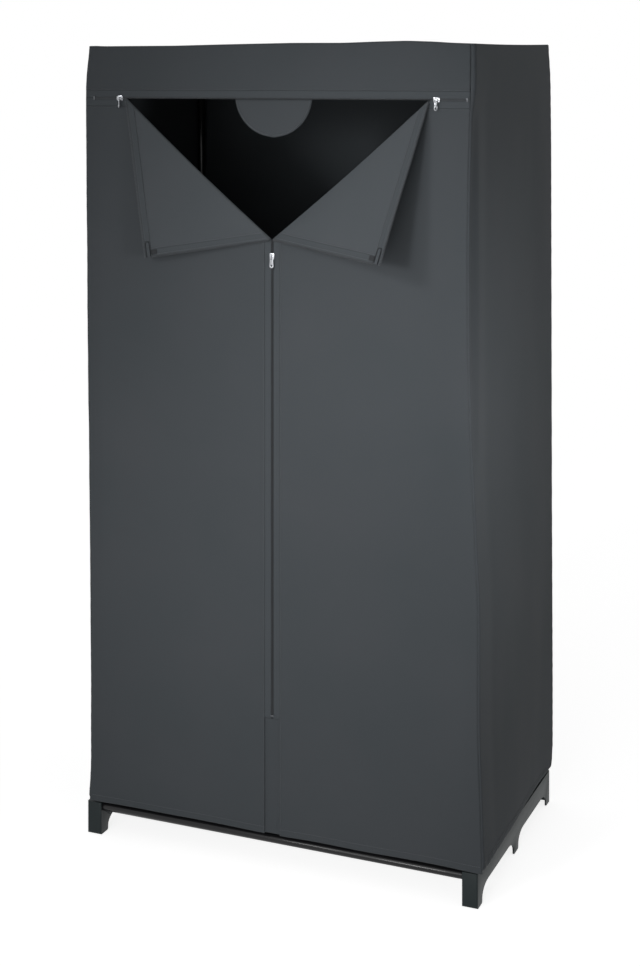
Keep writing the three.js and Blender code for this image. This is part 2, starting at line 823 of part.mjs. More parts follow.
// The plate seen from the front: square shoulders, sides drawn in to a rounder tail
function sliderOutline() {
  const half = slider.length / 2;
  const shoulder = slider.shoulderWidth / 2;
  const tail = slider.tailWidth / 2;
  const corner = slider.cornerRadius;
  const shape = new THREE.Shape();
  shape.moveTo(-tail + corner, -half);
  shape.lineTo(tail - corner, -half);
  shape.quadraticCurveTo(tail, -half, tail, -half + corner);
  shape.lineTo(shoulder, half - corner);
  shape.quadraticCurveTo(shoulder, half, shoulder - corner, half);
  shape.quadraticCurveTo(0, half - corner / 2, -shoulder + corner, half);
  shape.quadraticCurveTo(-shoulder, half, -shoulder, half - corner);
  shape.lineTo(-tail, -half + corner);
  shape.quadraticCurveTo(-tail, -half, -tail + corner, -half);
  return shape;
}

function bridgeOutline() {
  const half = slider.bridgeLength / 2;
  const bar = slider.bridgeBar;
  const top = slider.bridgeRoom + bar;
  const round = slider.bridgeRound;
  const shape = new THREE.Shape();
  shape.moveTo(-half, -slider.plate / 2);
  shape.lineTo(-half + bar, -slider.plate / 2);
  shape.lineTo(-half + bar, slider.bridgeRoom);
  shape.lineTo(half - bar, slider.bridgeRoom);
  shape.lineTo(half - bar, -slider.plate / 2);
  shape.lineTo(half, -slider.plate / 2);
  shape.lineTo(half, top - round);
  shape.quadraticCurveTo(half, top, half - round, top);
  shape.lineTo(-half + round, top);
  shape.quadraticCurveTo(-half, top, -half, top - round);
  return shape;
}

function sliderBody() {
  const outline = sliderOutline();
  const half = slider.length / 2;
  const block = solid(plateFacingFront(outline, -plateFace, plateFace));
  const channel = solid(box(-channelReach, channelReach, -channelHalf, channelHalf,
    -half - overrun, half + overrun));
  const slot = solid(box(-slider.shoulderWidth, slider.shoulderWidth, -lipStart, lipStart,
    -half - overrun, half + overrun));
  const post = box(-slider.post / 2, slider.post / 2, -plateFace + slider.plate / 2,
    plateFace - slider.plate / 2, half - slider.cornerRadius - slider.postLength,
    half - slider.cornerRadius);
  const bridgeAcross = new THREE.Matrix4().makeBasis(
    new THREE.Vector3(0, 0, 1), new THREE.Vector3(0, -1, 0), new THREE.Vector3(1, 0, 0));
  const bridge = extrude(bridgeOutline(), slider.bridgeBar)
    .applyMatrix4(bridgeAcross)
    .translate(-slider.bridgeBar / 2, -plateFace, 0);
  return geometryOf(block.subtract(channel).subtract(slot).add(solid(post)).add(solid(bridge)));
}

// A pull, hanging from its cross bar at the origin
function pullBody() {
  const head = pull.headHalf;
  const corner = pull.corner;
  const shape = new THREE.Shape();
  shape.moveTo(-head + corner, pull.barHalf);
  shape.lineTo(head - corner, pull.barHalf);
  shape.quadraticCurveTo(head, pull.barHalf, head, pull.barHalf - corner);
  shape.lineTo(head, -pull.windowEnd);
  shape.quadraticCurveTo(head, -pull.neckDrop, pull.neckHalf, -pull.neckDrop);
  shape.lineTo(pull.endHalf, -pull.endDrop);
  shape.absarc(0, -pull.endDrop, pull.endHalf, 0, -Math.PI, true);
  shape.lineTo(-pull.neckHalf, -pull.neckDrop);
  shape.quadraticCurveTo(-head, -pull.neckDrop, -head, -pull.windowEnd);
  shape.lineTo(-head, pull.barHalf - corner);
  shape.quadraticCurveTo(-head, pull.barHalf, -head + corner, pull.barHalf);
  const half = pull.thickness / 2;
  const window = box(-pull.windowHalf, pull.windowHalf, -pull.thickness, pull.thickness,
    -pull.windowEnd, -pull.barHalf);
  const eye = rod(pull.holeRadius, -pull.thickness, pull.thickness)
    .rotateX(Math.PI / 2)
    .translate(0, 0, -pull.endDrop);
  const plate = solid(plateFacingFront(shape, -half, half));
  return geometryOf(plate.subtract(solid(window)).subtract(solid(eye)));
}

function addSliders() {
  const body = sliderBody();
  const centre = new THREE.Group();
  centre.position.set(0, clothMiddle, foldFoot - slider.restDrop);
  centre.add(piece('centre_slider', body, sliderFinish));
  const centrePivot = new THREE.Group();
  centrePivot.position.set(0, -plateFace - pull.seat, 0);
  centrePivot.add(piece('centre_pull', pullBody(), sliderFinish));
  centre.add(centrePivot);
  wardrobe.add(centre);
  for (const [word, side] of [['left', -1], ['right', 1]]) {
    const group = new THREE.Group();
    group.position.set(side * (foldReach + slider.restBeyond), clothMiddle, chainHeight);
    const mesh = piece(`header_slider_${word}`, body.clone(), sliderFinish);
    mesh.rotation.y = -side * Math.PI / 2;
    group.add(mesh);
    const pivot = new THREE.Group();
    pivot.position.set(0, -bridgeAxis, 0);
    const lowered = pullBody().translate(0, 0, pull.barHalf + pull.play + slider.bridgeBar / 2);
    const hanging = piece(`header_pull_${word}`, lowered, sliderFinish);
    hanging.rotation.z = side * pull.turn;
    pivot.add(hanging);
    group.add(pivot);
    wardrobe.add(group);
  }
}

addSidePieces();
addTubes();
addCover();
addZips();
addFlap('left', -1);
addFlap('right', 1);
addSliders();

// The origin is below the middle of the whole, open corners included
const reach = new THREE.Box3().setFromObject(wardrobe, true);
wardrobe.position.y = -(reach.min.y + reach.max.y) / 2;

export default wardrobe;
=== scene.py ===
# %% [markdown]
# # A portable fabric wardrobe
#
# The real thing is a light frame of black tube that plugs into moulded sides, with a sewn cloth
# cover pulled over it. Two corners of the front are unzipped and folded open.
# A measured frame of the whole object comes first, so every piece here is sized and placed by it.
# The frame could be dressed by painting its own simple solids, but cloth, zips and turned tube
# need finer surfaces than a measured frame has, so each visible piece is made again here.

# %% Load the measured frame
import json
import math

import bmesh
import bpy
from mathutils import Matrix, Vector, noise


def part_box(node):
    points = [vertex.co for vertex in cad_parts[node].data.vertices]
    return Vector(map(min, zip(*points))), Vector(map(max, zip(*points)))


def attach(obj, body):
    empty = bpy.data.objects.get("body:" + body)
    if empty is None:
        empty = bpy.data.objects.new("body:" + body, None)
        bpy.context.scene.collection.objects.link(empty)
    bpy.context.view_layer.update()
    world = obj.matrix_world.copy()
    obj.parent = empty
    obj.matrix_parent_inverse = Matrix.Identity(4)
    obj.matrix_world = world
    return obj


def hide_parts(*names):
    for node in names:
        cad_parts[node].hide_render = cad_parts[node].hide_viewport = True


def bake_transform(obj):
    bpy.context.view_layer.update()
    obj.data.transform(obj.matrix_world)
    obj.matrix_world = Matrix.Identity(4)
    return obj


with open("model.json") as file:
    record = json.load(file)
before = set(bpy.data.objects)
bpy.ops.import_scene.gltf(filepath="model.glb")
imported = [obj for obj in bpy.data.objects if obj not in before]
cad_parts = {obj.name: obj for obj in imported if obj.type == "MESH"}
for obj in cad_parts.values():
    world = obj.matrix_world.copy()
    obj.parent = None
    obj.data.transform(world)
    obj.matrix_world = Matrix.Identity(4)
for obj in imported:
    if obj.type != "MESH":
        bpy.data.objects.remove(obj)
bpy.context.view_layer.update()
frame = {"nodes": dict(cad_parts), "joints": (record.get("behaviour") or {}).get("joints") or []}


def add(name, data):
    """Puts an object with this data into the scene."""
    thing = bpy.data.objects.new(name, data)
    bpy.context.scene.collection.objects.link(thing)
    return thing


# %% [markdown]
# ## Camera
#
# The camera stands where the photographer stood: a little right of the middle and level, with the
# lens shifted down so that the upright edges stay upright. A tilted camera would be the other
# way, but then the posts would lean towards each other.

# %% Place the camera
CAMERA_TURN = 0.3964
CAMERA_BEFORE = 2.7994
CAMERA_PLACE = Vector((1.2659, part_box("cover_roof")[0].y - CAMERA_BEFORE, 1.4436))
CAMERA_LENS = 63.01
SENSOR = 36.0
HORIZON_SHIFT = -0.4218

lens = bpy.data.cameras.new("studio_camera")
lens.lens = CAMERA_LENS
lens.sensor_width = SENSOR
lens.shift_y = HORIZON_SHIFT
camera = add("studio_camera", lens)
camera.location = CAMERA_PLACE
camera.rotation_euler = (math.pi / 2, 0, CAMERA_TURN)
bpy.context.scene.camera = camera
print("camera at", [round(c, 3) for c in CAMERA_PLACE])

# %% [markdown]
# ## Measures
#
# All the cloth hangs between a few lines: the front and back faces, the hem, the top, and the two
# zips. They are read from the frame, so a frame of another size would be dressed as well.

# %% Read the cover's lines
MM = 0.001

roof_low, roof_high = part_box("cover_roof")
panel_low, panel_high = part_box("cover_front_right")
FRONT, BACK = roof_low.y, roof_high.y
TOP, HEM = roof_high.z, panel_low.z
SEAM_BELOW, SEAM_ABOVE = panel_high.z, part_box("cover_header")[0].z
CHAIN = (SEAM_BELOW + SEAM_ABOVE) / 2
TAPE = SEAM_ABOVE - CHAIN
CLOTH = 1.0 * MM
CHAIN_PLANE = sum(c.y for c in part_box("centre_zip_left")) / 2
joints = {joint["name"]: joint for joint in frame["joints"]}
PIVOT = Vector(joints["flap_right_fold"]["pos_m"])
FOLD_AXIS = Vector(joints["flap_right_fold"]["axis"])
FOLD_SLOPE = abs(FOLD_AXIS.x / FOLD_AXIS.z)
FOLD_SECANT = math.hypot(1, FOLD_SLOPE)
SIDES = {"left": -1, "right": 1}
UP, INTO, LEVEL = Vector((0, 0, 1)), Vector((0, 1, 0)), Vector((1, 0, 0))


def within(value):
    """The value, held between 0 and 1."""
    return min(max(value, 0), 1)


def smooth(low, high, value):
    """0 at low, 1 at high, and a soft step between them."""
    share = within((value - low) / (high - low))
    return share * share * (3 - 2 * share)


def fade(distance, reach):
    """1 at an edge, and softly down to 0 at a distance from it."""
    return 1 - smooth(0, reach, distance)


def hump(value, middle, width):
    """1 at the middle, falling off like a bell on both sides."""
    return math.exp(-((value - middle) / width) ** 2)


def drift(a, b, c):
    """Smooth noise between -1 and 1, always the same at the same place."""
    return noise.noise(Vector((a, b, c)))


def mix(a, b, share):
    return a + (b - a) * share


def fold_x(z, off=0.0):
    """Where the right fold line is at a height, moved off the line by a distance."""
    return (z - PIVOT.z) * FOLD_SLOPE + off * FOLD_SECANT


def fold_z(x, off=0.0):
    """How high the right fold line is at an x, moved off the line by a distance."""
    return PIVOT.z + (x - off * FOLD_SECANT) / FOLD_SLOPE


print("cover, mm:", round(1000 * (BACK - FRONT)), "deep", round(1000 * TOP), "high")

# %% [markdown]
# The cover isn't a box. On the right its front corner is drawn in above half height, where the
# cloth is pulled tight, and swings out over the base; on the left it is drawn in just above the
# base. Each such line is a short list of heights with the distance from the middle, joined by a
# soft curve: the lists are easy to read and to change.

# %% Lines of the corners


def follow(stops, at, soften=22 * MM):
    """The value of a line of (place, value) stops, with its bends softened."""
    def straight(spot):
        if spot <= stops[0][0]:
            return stops[0][1]
        for (a, low), (b, high) in zip(stops, stops[1:]):
            if spot <= b:
                return mix(low, high, (spot - a) / (b - a))
        return stops[-1][1]
    return sum(straight(at + soften * k / 3) for k in (-3, -1.5, 0, 1.5, 3)) / 5


# Height and distance from the middle, in metres
SEAM_LINES = {
    "left": [(HEM, 0.3825), (0.13, 0.379), (0.25, 0.379), (0.45, 0.380), (0.65, 0.382),
             (0.85, 0.385), (1.05, 0.387), (1.30, 0.389), (1.44, 0.389), (TOP - 0.02, 0.3835),
             (TOP, 0.3805)],
    "right": [(HEM, 0.398), (0.12, 0.3950), (0.21, 0.392), (0.29, 0.3895), (0.54, 0.3885),
              (0.60, 0.385), (0.68, 0.381), (0.75, 0.3775), (0.82, 0.374), (0.90, 0.372),
              (0.98, 0.370), (1.16, 0.370), (1.27, 0.372), (1.34, 0.3745), (1.40, 0.3765),
              (TOP, 0.3775)],
}
REAR_LINE = [(HEM, 0.3910), (0.10, 0.3950), (0.25, 0.3950), (0.60, 0.3935), (1.30, 0.392),
             (1.44, 0.3905), (TOP, 0.386)]
TOP_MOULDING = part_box("top_side_right")[1].x
SHOULDER_LINES = {"left": TOP_MOULDING + 4.8 * MM, "right": TOP_MOULDING + 6.5 * MM}
SHOULDER_SPAN = (1.36, 1.44)
HALF_TOP = SHOULDER_LINES["right"]
POST_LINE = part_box("post_sleeve_front_right")[1].x + 1.6 * MM
POST_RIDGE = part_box("lower_post_front_right")[0].y - FRONT + 6 * MM
CORNER_IN = 3.2 * MM
CORNER_BACK = 9 * MM
DIP_DEPTH, DIP_BEHIND, DIP_WIDTH = 1.2 * MM, 42 * MM, 26 * MM


def of_side(table, side):
    """A table's value for a side; x itself will do for the side."""
    return table["right" if side > 0 else "left"]


def shoulder(side):
    """How far out the top edge is on a side."""
    return of_side(SHOULDER_LINES, side)


def seam_x(z, side):
    """The front corner seam's distance from the middle at a height."""
    wander = 0.6 * MM * drift(z / 0.11, 5.5 * side, 1.1)
    return follow(of_side(SEAM_LINES, side), z) + wander * smooth(0, 60 * MM, TOP - z)


def corner_x(z, side):
    """The corner's outer edge: a little outside the seam, and outside the top moulding."""
    outer = seam_x(z, side) + CORNER_IN
    return mix(outer, max(outer, shoulder(side)), smooth(*SHOULDER_SPAN, z))


def side_x(z, y, side):
    """How far out the side is: over the front post, a dip behind it, then straight to the rear."""
    depth = y - FRONT
    outer = corner_x(z, side)
    over_post = max(outer, POST_LINE)
    rear = max(follow(REAR_LINE, z), shoulder(side) * smooth(*SHOULDER_SPAN, z))
    dip = DIP_DEPTH * hump(depth, POST_RIDGE + DIP_BEHIND, DIP_WIDTH) * smooth(0, 0.2, TOP - z)
    near = mix(outer, over_post, smooth(CORNER_BACK, POST_RIDGE, depth))
    return mix(near, rear, smooth(POST_RIDGE, 0.75 * (BACK - FRONT), depth)) - dip


def seam_sink(z):
    """Below the header the front cloth turns in a little before it reaches the corner seam."""
    return 2.4 * MM * smooth(0, 0.12, SEAM_BELOW - z) * smooth(-0.02, 0.10, z - HEM)


def rear_x(z, side):
    return side_x(z, BACK - CORNER_BACK, side) - CORNER_IN


# Place along the front in metres, and the lift there in mm
RIDGE_LINE = [(-0.383, 0.3), (-0.372, 1.1), (-0.350, 0.1), (-0.20, 0.1), (-0.10, 1.8),
              (0.04, 3.6), (0.14, 3.0), (0.20, 4.7), (0.26, 5.8), (0.31, 3.9), (0.345, 1.5),
              (0.383, 0.0)]
RIDGE_DOWN = 1.2 * MM
REAR_RISE = {"left": 3.5 * MM, "right": 6.2 * MM}


def ridge(x, y):
    """How far the top edge lifts: most along the front, right of the middle, and at the rear."""
    front = follow(RIDGE_LINE, x, 8 * MM) * MM
    rear = mix(REAR_RISE["left"], REAR_RISE["right"], (x + HALF_TOP) / (2 * HALF_TOP))
    depth = within((y - FRONT) / (BACK - FRONT))
    return front * fade(depth, 0.6) + rear * depth ** 1.7 - RIDGE_DOWN


def inside_walls(x, y):
    """Moves a point of the roof's square corner onto its rounded one."""
    over_x = abs(x) - (shoulder(x) - CORNER_IN)
    over_y = abs(y - (FRONT + BACK) / 2) - ((BACK - FRONT) / 2 - CORNER_BACK)
    far = math.hypot(max(over_x, 0) / CORNER_IN, max(over_y, 0) / CORNER_BACK)
    if min(over_x, over_y) <= 0 or far <= 1:
        return x, y
    return (x - math.copysign(over_x * (1 - 1 / far), x),
            y - math.copysign(over_y * (1 - 1 / far), y - (FRONT + BACK) / 2))


print("seam from the middle, mm:",
      [round(1000 * seam_x(z, 1)) for z in (HEM, 0.5, 1.0, TOP)])

# %% [markdown]
# ## Shared node groups
#
# Cloth, tape, paint and plastic all need small unevenness, each at its own scale. A node group
# holds one such effect with named values, so that each finish uses the same thread pattern, grain
# or mottling in its own way. The shader itself stays in each material.

# %% A short way to place nodes


def put(tree, kind, settings=None, **inputs):
    """Adds a shader node. A value that is a socket is linked, any other is set."""
    node = tree.nodes.new("ShaderNode" + kind)
    for key, value in (settings or {}).items():
        setattr(node, key, value)
    for key, value in inputs.items():
        spot = int(key[2:]) if key.startswith("at") else key.replace("_", " ")
        socket = node.inputs[spot]
        if isinstance(value, bpy.types.NodeSocket):
            tree.links.new(value, socket)
        else:
            socket.default_value = value
    return node


def calculate(tree, operation, a, b=0.0):
    return put(tree, "Math", {"operation": operation}, at0=a, at1=b).outputs[0]


def new_group(name, inputs, outputs):
    """A node group with named number inputs and named outputs."""
    group = bpy.data.node_groups.new(name, "ShaderNodeTree")
    for label, value in inputs.items():
        socket = group.interface.new_socket(label, in_out="INPUT", socket_type="NodeSocketFloat")
        socket.default_value = value
    for label in outputs:
        group.interface.new_socket(label, in_out="OUTPUT", socket_type="NodeSocketFloat")
    return group, group.nodes.new("NodeGroupInput"), group.nodes.new("NodeGroupOutput")


print("node helpers ready")

# %% [markdown]
# A woven cloth is a grid of small bumps where the threads cross. Three sine waves, one along each
# axis, give such a grid on every panel, whichever way it faces. An image would be the other way,
# but it would need unwrapping, and this pattern follows the piece by itself.

# %% Woven threads


def build_weave():
    group, entry, leave = new_group(
        "woven_threads", {"Threads per metre": 1500.0, "Depth": 1.0}, ["Height"])
    place = put(group, "TexCoord").outputs["Object"]
    turn = calculate(group, "MULTIPLY", entry.outputs["Threads per metre"], 2 * math.pi)
    scaled = put(group, "VectorMath", {"operation": "SCALE"}, at0=place, Scale=turn)
    axes = put(group, "SeparateXYZ", at0=scaled.outputs[0])
    waves = [calculate(group, "SINE", axes.outputs[i]) for i in range(3)]
    total = calculate(group, "ADD", calculate(group, "ADD", waves[0], waves[1]), waves[2])
    height = calculate(group, "MULTIPLY", total, entry.outputs["Depth"])
    group.links.new(height, leave.inputs["Height"])
    return group


def noise_texture(group, scale, detail):
    place = put(group, "TexCoord").outputs["Object"]
    return put(group, "TexNoise", Vector=place, Detail=detail, Scale=scale).outputs[0]


def build_unevenness():
    """Slow blotches that change a colour, and a fine grain that changes a surface."""
    group, entry, leave = new_group(
        "unevenness", {"Blotches per metre": 6.0, "Grains per metre": 900.0}, ["Blotch", "Grain"])
    for label, per_metre, detail in (("Blotch", "Blotches per metre", 3.0),
                                     ("Grain", "Grains per metre", 2.0)):
        texture = noise_texture(group, entry.outputs[per_metre], detail)
        group.links.new(texture, leave.inputs[label])
    return group


def build_rubbed():
    """Bright where an edge stands out and hands or floors rub it, broken up by scratches."""
    group, entry, leave = new_group(
        "rubbed_edges", {"Start": 0.53, "Full": 0.62, "Scratches per metre": 120.0}, ["Mask"])
    point = put(group, "NewGeometry").outputs["Pointiness"]
    edge = put(group, "MapRange", Value=point, From_Min=entry.outputs["Start"],
               From_Max=entry.outputs["Full"])
    marks = noise_texture(group, entry.outputs["Scratches per metre"], 5.0)
    broken = put(group, "MapRange", Value=marks, From_Min=0.4, From_Max=0.65)
    mask = calculate(group, "MULTIPLY", edge.outputs[0], broken.outputs[0])
    group.links.new(mask, leave.inputs["Mask"])
    return group


weave_group = build_weave()
uneven_group = build_unevenness()
rubbed_group = build_rubbed()
print("groups:", weave_group.name, uneven_group.name, rubbed_group.name)

# %% [markdown]
# ## Finishes
#
# The cloth is a smooth, fine, anthracite weave: nearly matt, with a faint sheen where it turns
# away. A plain grey would look like card, so the colour drifts a little between two greys, and
# the threads and a fine grain lift the surface by a few hundredths of a millimetre. The reverse,
# which the folded corners show, isn't pressed smooth and looks a little paler.

# %% Cloth finishes


def use_group(tree, group, **values):
    node = tree.nodes.new("ShaderNodeGroup")
    node.node_tree = group
    for key, value in values.items():
        node.inputs[key.replace("_", " ")].default_value = value
    return node


def begin(name, **fixed):
    """A material whose Principled shader has these fixed values on its own sockets."""
    material = bpy.data.materials.new(name)
    material.use_nodes = True
    shader = material.node_tree.nodes["Principled BSDF"]
    for key, value in fixed.items():
        shader.inputs[key.replace("_", " ")].default_value = value
    return material, material.node_tree, shader


def two_tone(tree, shader, factor, dark, light):
    """Base colour that drifts between two colours."""
    blend = put(tree, "Mix", {"data_type": "RGBA"}, at0=factor)
    blend.inputs[6].default_value = (*dark, 1)
    blend.inputs[7].default_value = (*light, 1)
    tree.links.new(blend.outputs[2], shader.inputs["Base Color"])


def raise_surface(tree, shader, height, distance):
    bump = put(tree, "Bump", Height=height, Distance=distance, Strength=1.0)
    tree.links.new(bump.outputs[0], shader.inputs["Normal"])


def cloth_finish(name, dark, light, threads, depth, roughness):
    material, tree, shader = begin(
        name, Roughness=roughness, Sheen_Weight=0.06, Sheen_Roughness=0.5,
        Specular_IOR_Level=0.12)
    weave = use_group(tree, weave_group, Threads_per_metre=threads, Depth=depth)
    uneven = use_group(tree, uneven_group, Blotches_per_metre=5.0, Grains_per_metre=420.0)
    two_tone(tree, shader, uneven.outputs["Blotch"], dark, light)
    height = calculate(tree, "ADD", weave.outputs["Height"], uneven.outputs["Grain"])
    raise_surface(tree, shader, height, 0.03 * MM)
    return material


# Name, darker tone, lighter tone, threads per metre, depth of the weave, roughness
CLOTHS = [
    ("cover_cloth", (0.051, 0.060, 0.066), (0.066, 0.071, 0.078), 1250, 0.4, 0.8),
    ("cloth_reverse", (0.060, 0.070, 0.077), (0.078, 0.084, 0.092), 1250, 0.4, 0.8),
    ("zip_tape", (0.055, 0.064, 0.071), (0.069, 0.076, 0.083), 900, 0.5, 0.8),
    ("woven_band", (0.026, 0.028, 0.031), (0.036, 0.038, 0.041), 700, 1.0, 0.7),
    ("edge_binding", (0.012, 0.013, 0.015), (0.020, 0.021, 0.023), 700, 1.4, 0.7),
    ("sewing_thread", (0.120, 0.129, 0.138), (0.150, 0.160, 0.170), 2500, 0.6, 0.6),
]
cover_cloth, cloth_reverse, tape_cloth, band_cloth, edge_binding, sewing_thread = (
    cloth_finish(*facts) for facts in CLOTHS)
print("cloth finishes:", [facts[0] for facts in CLOTHS])

# %% [markdown]
# The tubes are dipped in a gloss black paint, which shows long clean highlights. The moulded
# sides are satin black plastic with a fine grain from the mould, paler where edges are rubbed.
# The sliders are plated, so they show their surroundings, with a few dull marks from fingers.
# The end stops are pressed from darkened metal, so they don't shine like the sliders.

# %% Hard finishes


def hard_finish(name, dark, light, blotches, grains, lift, rough=None, worn=None, **fixed):
    """Two tones and a fine grain; the roughness may drift, and the edges may be rubbed."""
    material, tree, shader = begin(name, **fixed)
    uneven = use_group(tree, uneven_group, Blotches_per_metre=blotches, Grains_per_metre=grains)
    blotch = uneven.outputs["Blotch"]
    shade = blotch
    if worn:
        rubbed = use_group(tree, rubbed_group).outputs["Mask"]
        shade = calculate(tree, "ADD", calculate(tree, "MULTIPLY", blotch, worn[0]),
                          calculate(tree, "MULTIPLY", rubbed, worn[1]))
    two_tone(tree, shader, shade, dark, light)
    if rough:
        span = put(tree, "MapRange", Value=blotch, To_Min=rough[0], To_Max=rough[1])
        tree.links.new(span.outputs[0], shader.inputs["Roughness"])
    raise_surface(tree, shader, uneven.outputs["Grain"], lift)
    return material


gloss_paint = hard_finish(
    "gloss_paint", (0.007, 0.007, 0.008), (0.013, 0.013, 0.014), 25.0, 300.0, 0.01 * MM,
    Roughness=0.3, Specular_IOR_Level=0.15, Coat_Weight=0.25, Coat_Roughness=0.03)
moulded_plastic = hard_finish(
    "moulded_plastic", (0.010, 0.015, 0.016), (0.024, 0.033, 0.035), 14.0, 1400.0, 0.05 * MM,
    rough=(0.42, 0.55), worn=(0.6, 0.5), Specular_IOR_Level=0.18)
plated_metal = hard_finish(
    "plated_metal", (0.24, 0.25, 0.27), (0.46, 0.47, 0.49), 220.0, 1500.0, 0.006 * MM,
    rough=(0.16, 0.34), Metallic=1.0)
darkened_metal = hard_finish(
    "darkened_metal", (0.045, 0.048, 0.052), (0.085, 0.090, 0.096), 300.0, 1500.0, 0.01 * MM,
    Metallic=1.0, Roughness=0.5)
TEETH = [
    # Centre zip: dark teeth, partly the chain's own dark colour and partly painted shade of the
    # grooves beside the closed chain.
    ("zip_teeth", (0.026, 0.028, 0.031), (0.038, 0.041, 0.045)),
    # Level zip: teeth as pale as the cloth, painted light that hides the shade in the groove
    # between its two tapes.
    ("covered_teeth", (0.055, 0.060, 0.066), (0.070, 0.075, 0.081)),
    # Folded corners: paler teeth, a painted highlight along the corners' outer edges.
    ("turned_teeth", (0.072, 0.078, 0.085), (0.094, 0.101, 0.109)),
]
zip_teeth, covered_teeth, turned_teeth = (
    hard_finish(*tones, 60.0, 1200.0, 0.02 * MM, Roughness=0.45, Specular_IOR_Level=0.25)
    for tones in TEETH)
print("hard finishes:", gloss_paint.name, moulded_plastic.name, plated_metal.name)

# %% [markdown]
# ## Making pieces
#
# Each piece becomes one mesh object that rides on the body that carries it, and stands for the
# plain solid of the same name. Meshes are written point by point from formulas, because cloth and
# turned parts are simple to say as a formula and tedious to push into shape by hand.

# %% Piece helpers


def new_piece(name, points, faces, body, material, replaced=()):
    """A mesh object in place. It rides on its body, unless that is none, and stands for nodes."""
    mesh = bpy.data.meshes.new(name)
    mesh.from_pydata([tuple(p) for p in points], [], faces)
    mesh.validate()
    mesh.shade_smooth()
    mesh.materials.append(material)
    piece = add(name, mesh)
    if body:
        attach(piece, body)
    if replaced:
        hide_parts(*replaced)
    return piece


def settle(piece):
    """Writes a piece's modifiers into its mesh."""
    bpy.context.view_layer.update()
    seen = piece.evaluated_get(bpy.context.evaluated_depsgraph_get())
    mesh = bpy.data.meshes.new_from_object(seen)
    piece.modifiers.clear()
    piece.data = mesh


def soften(piece, degrees):
    """Smooth shading, but sharp where two faces meet at more than an angle."""
    piece.data.shade_smooth()
    piece.data.set_sharp_from_angle(angle=math.radians(degrees))


def spread(count, crowd=0.0):
    """Shares from 0 to 1, crowded towards both ends, where seams need fine rows."""
    steps = [i / count for i in range(count + 1)]
    return [s - crowd * math.sin(2 * math.pi * s) / (2 * math.pi) for s in steps]


def grid_faces(columns, rows):
    faces = []
    for row in range(rows - 1):
        for column in range(columns - 1):
            a = row * columns + column
            faces.append((a, a + 1, a + columns + 1, a + columns))
    return faces


def tube_faces(first, rings, around, caps=0):
    """Faces between rings of points: a closed loop, or open with caps that face out or in."""
    faces = []
    for ring in range(rings - 1 if caps else rings):
        low, high = first + ring * around, first + (ring + 1) % rings * around
        for k in range(around):
            after = (k + 1) % around
            faces.append((low + k, low + after, high + after, high + k))
    if caps:
        last = first + (rings - 1) * around
        faces += [tuple(range(first, first + around))[::-caps],
                  tuple(range(last, last + around))[::caps]]
    return faces


print("even and crowded shares:", spread(4), [round(s, 3) for s in spread(4, 0.8)])

# %% [markdown]
# A cloth panel is a fine grid of points, given the cloth's thickness towards its inside. The grid
# could be simulated, but this cover is pulled tight over its frame: what shows is a slow
# unevenness, thick hems, and small puckers beside the seams, and formulas give exactly those.

# %% Cloth helpers


def cloth_piece(name, across, up, place, facing, material=None, body="wardrobe",
                thick=CLOTH, move=None):
    """A sheet for a node: place(u, v) is its outer face, and the inner one is paler."""
    points = [place(u, v) for v in up for u in across]
    faces = grid_faces(len(across), len(up))
    middle = (len(up) // 2) * (len(across) - 1) + len(across) // 2
    a, b, c = (points[i] for i in faces[middle][:3])
    if (b - a).cross(c - b).dot(facing) < 0:
        faces = [tuple(reversed(face)) for face in faces]
    piece = new_piece(f"{name}_sewn", points, faces, body, material or cover_cloth, (name,))
    piece.data.materials.append(material or cloth_reverse)
    solid = piece.modifiers.new("thickness", "SOLIDIFY")
    solid.thickness = thick
    solid.offset = -1
    solid.material_offset = 1
    settle(piece)
    if move:
        piece.data.transform(move)
    piece.data.shade_smooth()
    return piece


def drape(a, b, seed):
    """Slow unevenness of tight cloth in metres, with a along the level and b along the fall."""
    tall = drift(a / 0.13, b / 0.8, seed)
    broad = drift(a / 0.32, b / 0.28, seed + 7.3)
    small = drift(a / 0.05, b / 0.11, seed + 13.1)
    return (1.5 * tall + 1.3 * broad + 0.25 * small) * MM


def hem_step(distance, width=14 * MM):
    """How far a doubled hem stands out, with its stitched groove and its rounded edge."""
    doubled = 0.45 * MM * (1 - smooth(width, width + 2 * MM, distance))
    groove = 0.3 * MM * hump(distance, width - 2.5 * MM, 1.1 * MM)
    return doubled - groove - 0.5 * MM * fade(distance, 1.5 * MM)


def pucker(distance, along, reach=38 * MM, wave=23 * MM):
    """Small folds that a seam pulls into the cloth beside it."""
    strength = 0.35 * MM * fade(distance, reach) * smooth(0, 6 * MM, distance)
    phase = 2.2 * drift(along / 0.07, 3.7, 0)
    return strength * math.sin(2 * math.pi * along / wave + phase)


print("hem stands out by mm:", round(1000 * hem_step(5 * MM), 2))

# %% [markdown]
# ## Stitches
#
# Every hem and zip tape is held by a row of short stitches. They are real threads here, so they
# catch the light: each is a small bar that dips into the cloth at both ends. Rows are collected
# per body while the cloth is made, and become one piece per body at the end.

# %% Stitch rows
STITCH = 3.0 * MM
STITCH_GAP = 1.0 * MM
STITCH_HALF = 0.36 * MM
# How far along a stitch, and how high it stands there in half widths
STITCH_SHAPE = [(0, 0.0), (0.25, 0.8), (0.75, 0.8), (1, 0.0)]
stitch_rows = {}


def walk(points, step):
    """Points at an even distance along a line of points."""
    result, rest = [points[0]], step
    for a, b in zip(points, points[1:]):
        length = (b - a).length
        done = 0.0
        while length - done >= rest:
            done += rest
            result.append(a.lerp(b, done / length))
            rest = step
        rest -= length - done
    return result


def stitch(points, outward, body="wardrobe", move=None):
    """Adds a row of stitches along a line on the cloth."""
    stops = walk([Vector(p) for p in points], STITCH + STITCH_GAP)
    for a, b in zip(stops, stops[1:]):
        ahead = (b - a).normalized()
        bar = [a + outward * 0.02 * MM, b - ahead * STITCH_GAP, ahead.cross(outward), outward]
        if move:
            bar = [move @ bar[0], move @ bar[1], move.to_3x3() @ bar[2], move.to_3x3() @ bar[3]]
        stitch_rows.setdefault(body, []).append(bar)


